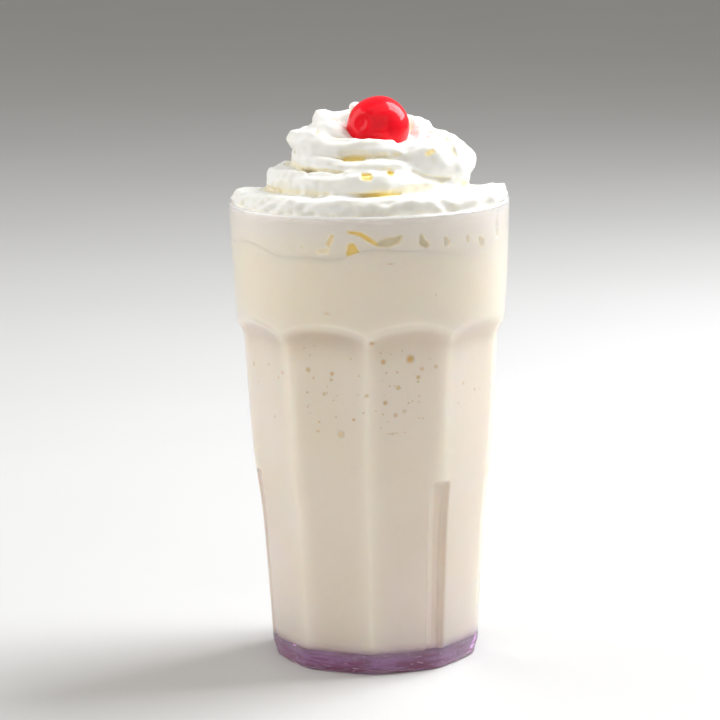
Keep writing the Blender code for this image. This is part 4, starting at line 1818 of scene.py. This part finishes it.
@dataclass
class Cherry:
    """The pitted cherry: a slightly uneven ball with a shallow dimple."""

    centre: Vector = field(default_factory=lambda: Vector((3.1 * MM, -5.0 * MM, 168.4 * MM)))
    radius: float = 9.66 * MM
    dimple_depth: float = 0.5 * MM
    dimple_band_degrees: Pair = (4.0, 24.0)
    dimple_tint: float = 0.5
    dimple_towards: Vector = field(default_factory=lambda: Vector((-0.57, -0.79, 0.22)))
    finish: CherryFinish = CherryFinish()
    columns: int = 96
    rows: int = 64
    unevenness: Ripple = Ripple(14.0 * MM, 0.16 * MM, 5)

    def build(self) -> bpy.types.Object:
        """Build the cherry as rings round the axis of its dimple.

        Returns:
            The piece.
        """
        towards = self.dimple_towards.normalized()
        side = towards.cross(Vector((0.0, 0.0, 1.0))).normalized()
        up = side.cross(towards)
        turns = np.linspace(0.0, 2.0 * math.pi, self.columns, endpoint=False)
        around = np.cos(turns)[:, None] * np.array(side) + np.sin(turns)[:, None] * np.array(up)
        away = np.linspace(0.0, math.pi, self.rows + 1)
        hollow = 1.0 - smooth_step(np.degrees(away), *self.dimple_band_degrees)
        radii = self.radius - self.dimple_depth * hollow
        rings = []
        for row in range(1, self.rows):
            direction = math.cos(away[row]) * np.array(towards) + math.sin(away[row]) * around
            rings.append(np.array(self.centre) + radii[row] * direction)
        poles = (self.centre - self.radius * towards, self.centre + float(radii[0]) * towards)
        points, faces = skin_rings(rings[::-1], *poles)
        swelling = self.unevenness.at(points) / self.radius
        points = points + (points - np.array(self.centre)) * swelling[:, None]
        dimple = np.concatenate([np.repeat(hollow[1:-1][::-1], self.columns), [0.0, 1.0]])
        marks = {"dimple": dimple * self.dimple_tint}
        piece = add_piece("cherry_fruit", points, faces, self.finish.material(), marks)
        return attach(piece, Node.CHERRY)


# ---- studio ----

@dataclass(frozen=True)
class SoftLight:
    """A soft box aimed at the middle of the tumbler."""

    name: str
    place: Triple
    size: Pair
    power: float
    colour: Colour = (1.0, 1.0, 1.0)
    target: Triple = (0.0, 0.0, 0.09)

    def build(self) -> None:
        """Add the light to the scene."""
        light_data = bpy.data.lights.new(self.name, "AREA")
        light_data.shape = "RECTANGLE"
        light_data.size, light_data.size_y = self.size
        light_data.energy = self.power
        light_data.color = self.colour
        light = bpy.data.objects.new(self.name, light_data)
        light.location = self.place
        aim = Vector(self.target) - Vector(self.place)
        light.rotation_euler = aim.to_track_quat("-Z", "Y").to_euler()
        bpy.context.scene.collection.objects.link(light)


@dataclass
class Studio:
    """The pale floor, the soft boxes and the even surroundings."""

    floor_finish: FloorFinish = FloorFinish()
    floor_size: float = 7.0
    floor_drop: float = 0.1 * MM
    surroundings: Colour = (0.62, 0.61, 0.59)
    surroundings_strength: float = 0.56
    lights: tuple[SoftLight, ...] = (
        SoftLight("key_right", (0.66, 0.33, 0.76), (0.66, 0.92), 20.3, (0.92, 0.955, 1.0)),
        SoftLight("fill_left", (-1.10, 0.16, 0.58), (1.10, 1.30), 10.1, (0.96, 0.98, 1.0)),
        SoftLight("top", (0.05, -0.10, 1.05), (0.8, 0.6), 0.8),
        SoftLight("front", (-0.40, -2.4, 1.25), (5.0, 3.5), 32.5, (1.0, 0.950, 0.870)),
    )

    def build(self) -> None:
        """Build the floor, the lights and the world."""
        half = 0.5 * self.floor_size
        outline = [(-half, -half), (half, -half), (half, half), (-half, half)]
        corners = np.array([(x, y, -self.floor_drop) for x, y in outline])
        floor = add_piece("studio_floor", corners, [[0, 1, 2, 3]], self.floor_finish.material())
        for light in self.lights:
            light.build()
        world = bpy.data.worlds.new("studio")
        world.use_nodes = True
        background = world.node_tree.nodes["Background"]
        background.inputs["Color"].default_value = (*self.surroundings, 1.0)
        background.inputs["Strength"].default_value = self.surroundings_strength
        scene = bpy.context.scene
        scene.world = world
        scene.view_settings.view_transform = "Standard"
        scene.cycles.blur_glossy = 0.0


def main() -> None:
    """Build every piece in order and report it."""
    logging.basicConfig(level=logging.INFO, format="%(name)s: %(message)s")
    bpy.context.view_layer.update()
    ViewPoint().build()
    Studio().build()
    tumbler = Tumbler()
    smoothie = Smoothie(tumbler)
    bubbles = WallBubbles(tumbler, smoothie)
    cherry = Cherry()
    cream = WhippedCream(tumbler, smoothie, cherry.centre, cherry.radius)
    for maker in (tumbler, smoothie, bubbles, cream, cherry):
        piece = maker.build()
        LOG.info("built %s with %d points", piece.name, len(piece.data.vertices))


if __name__ == "__main__":
    main()
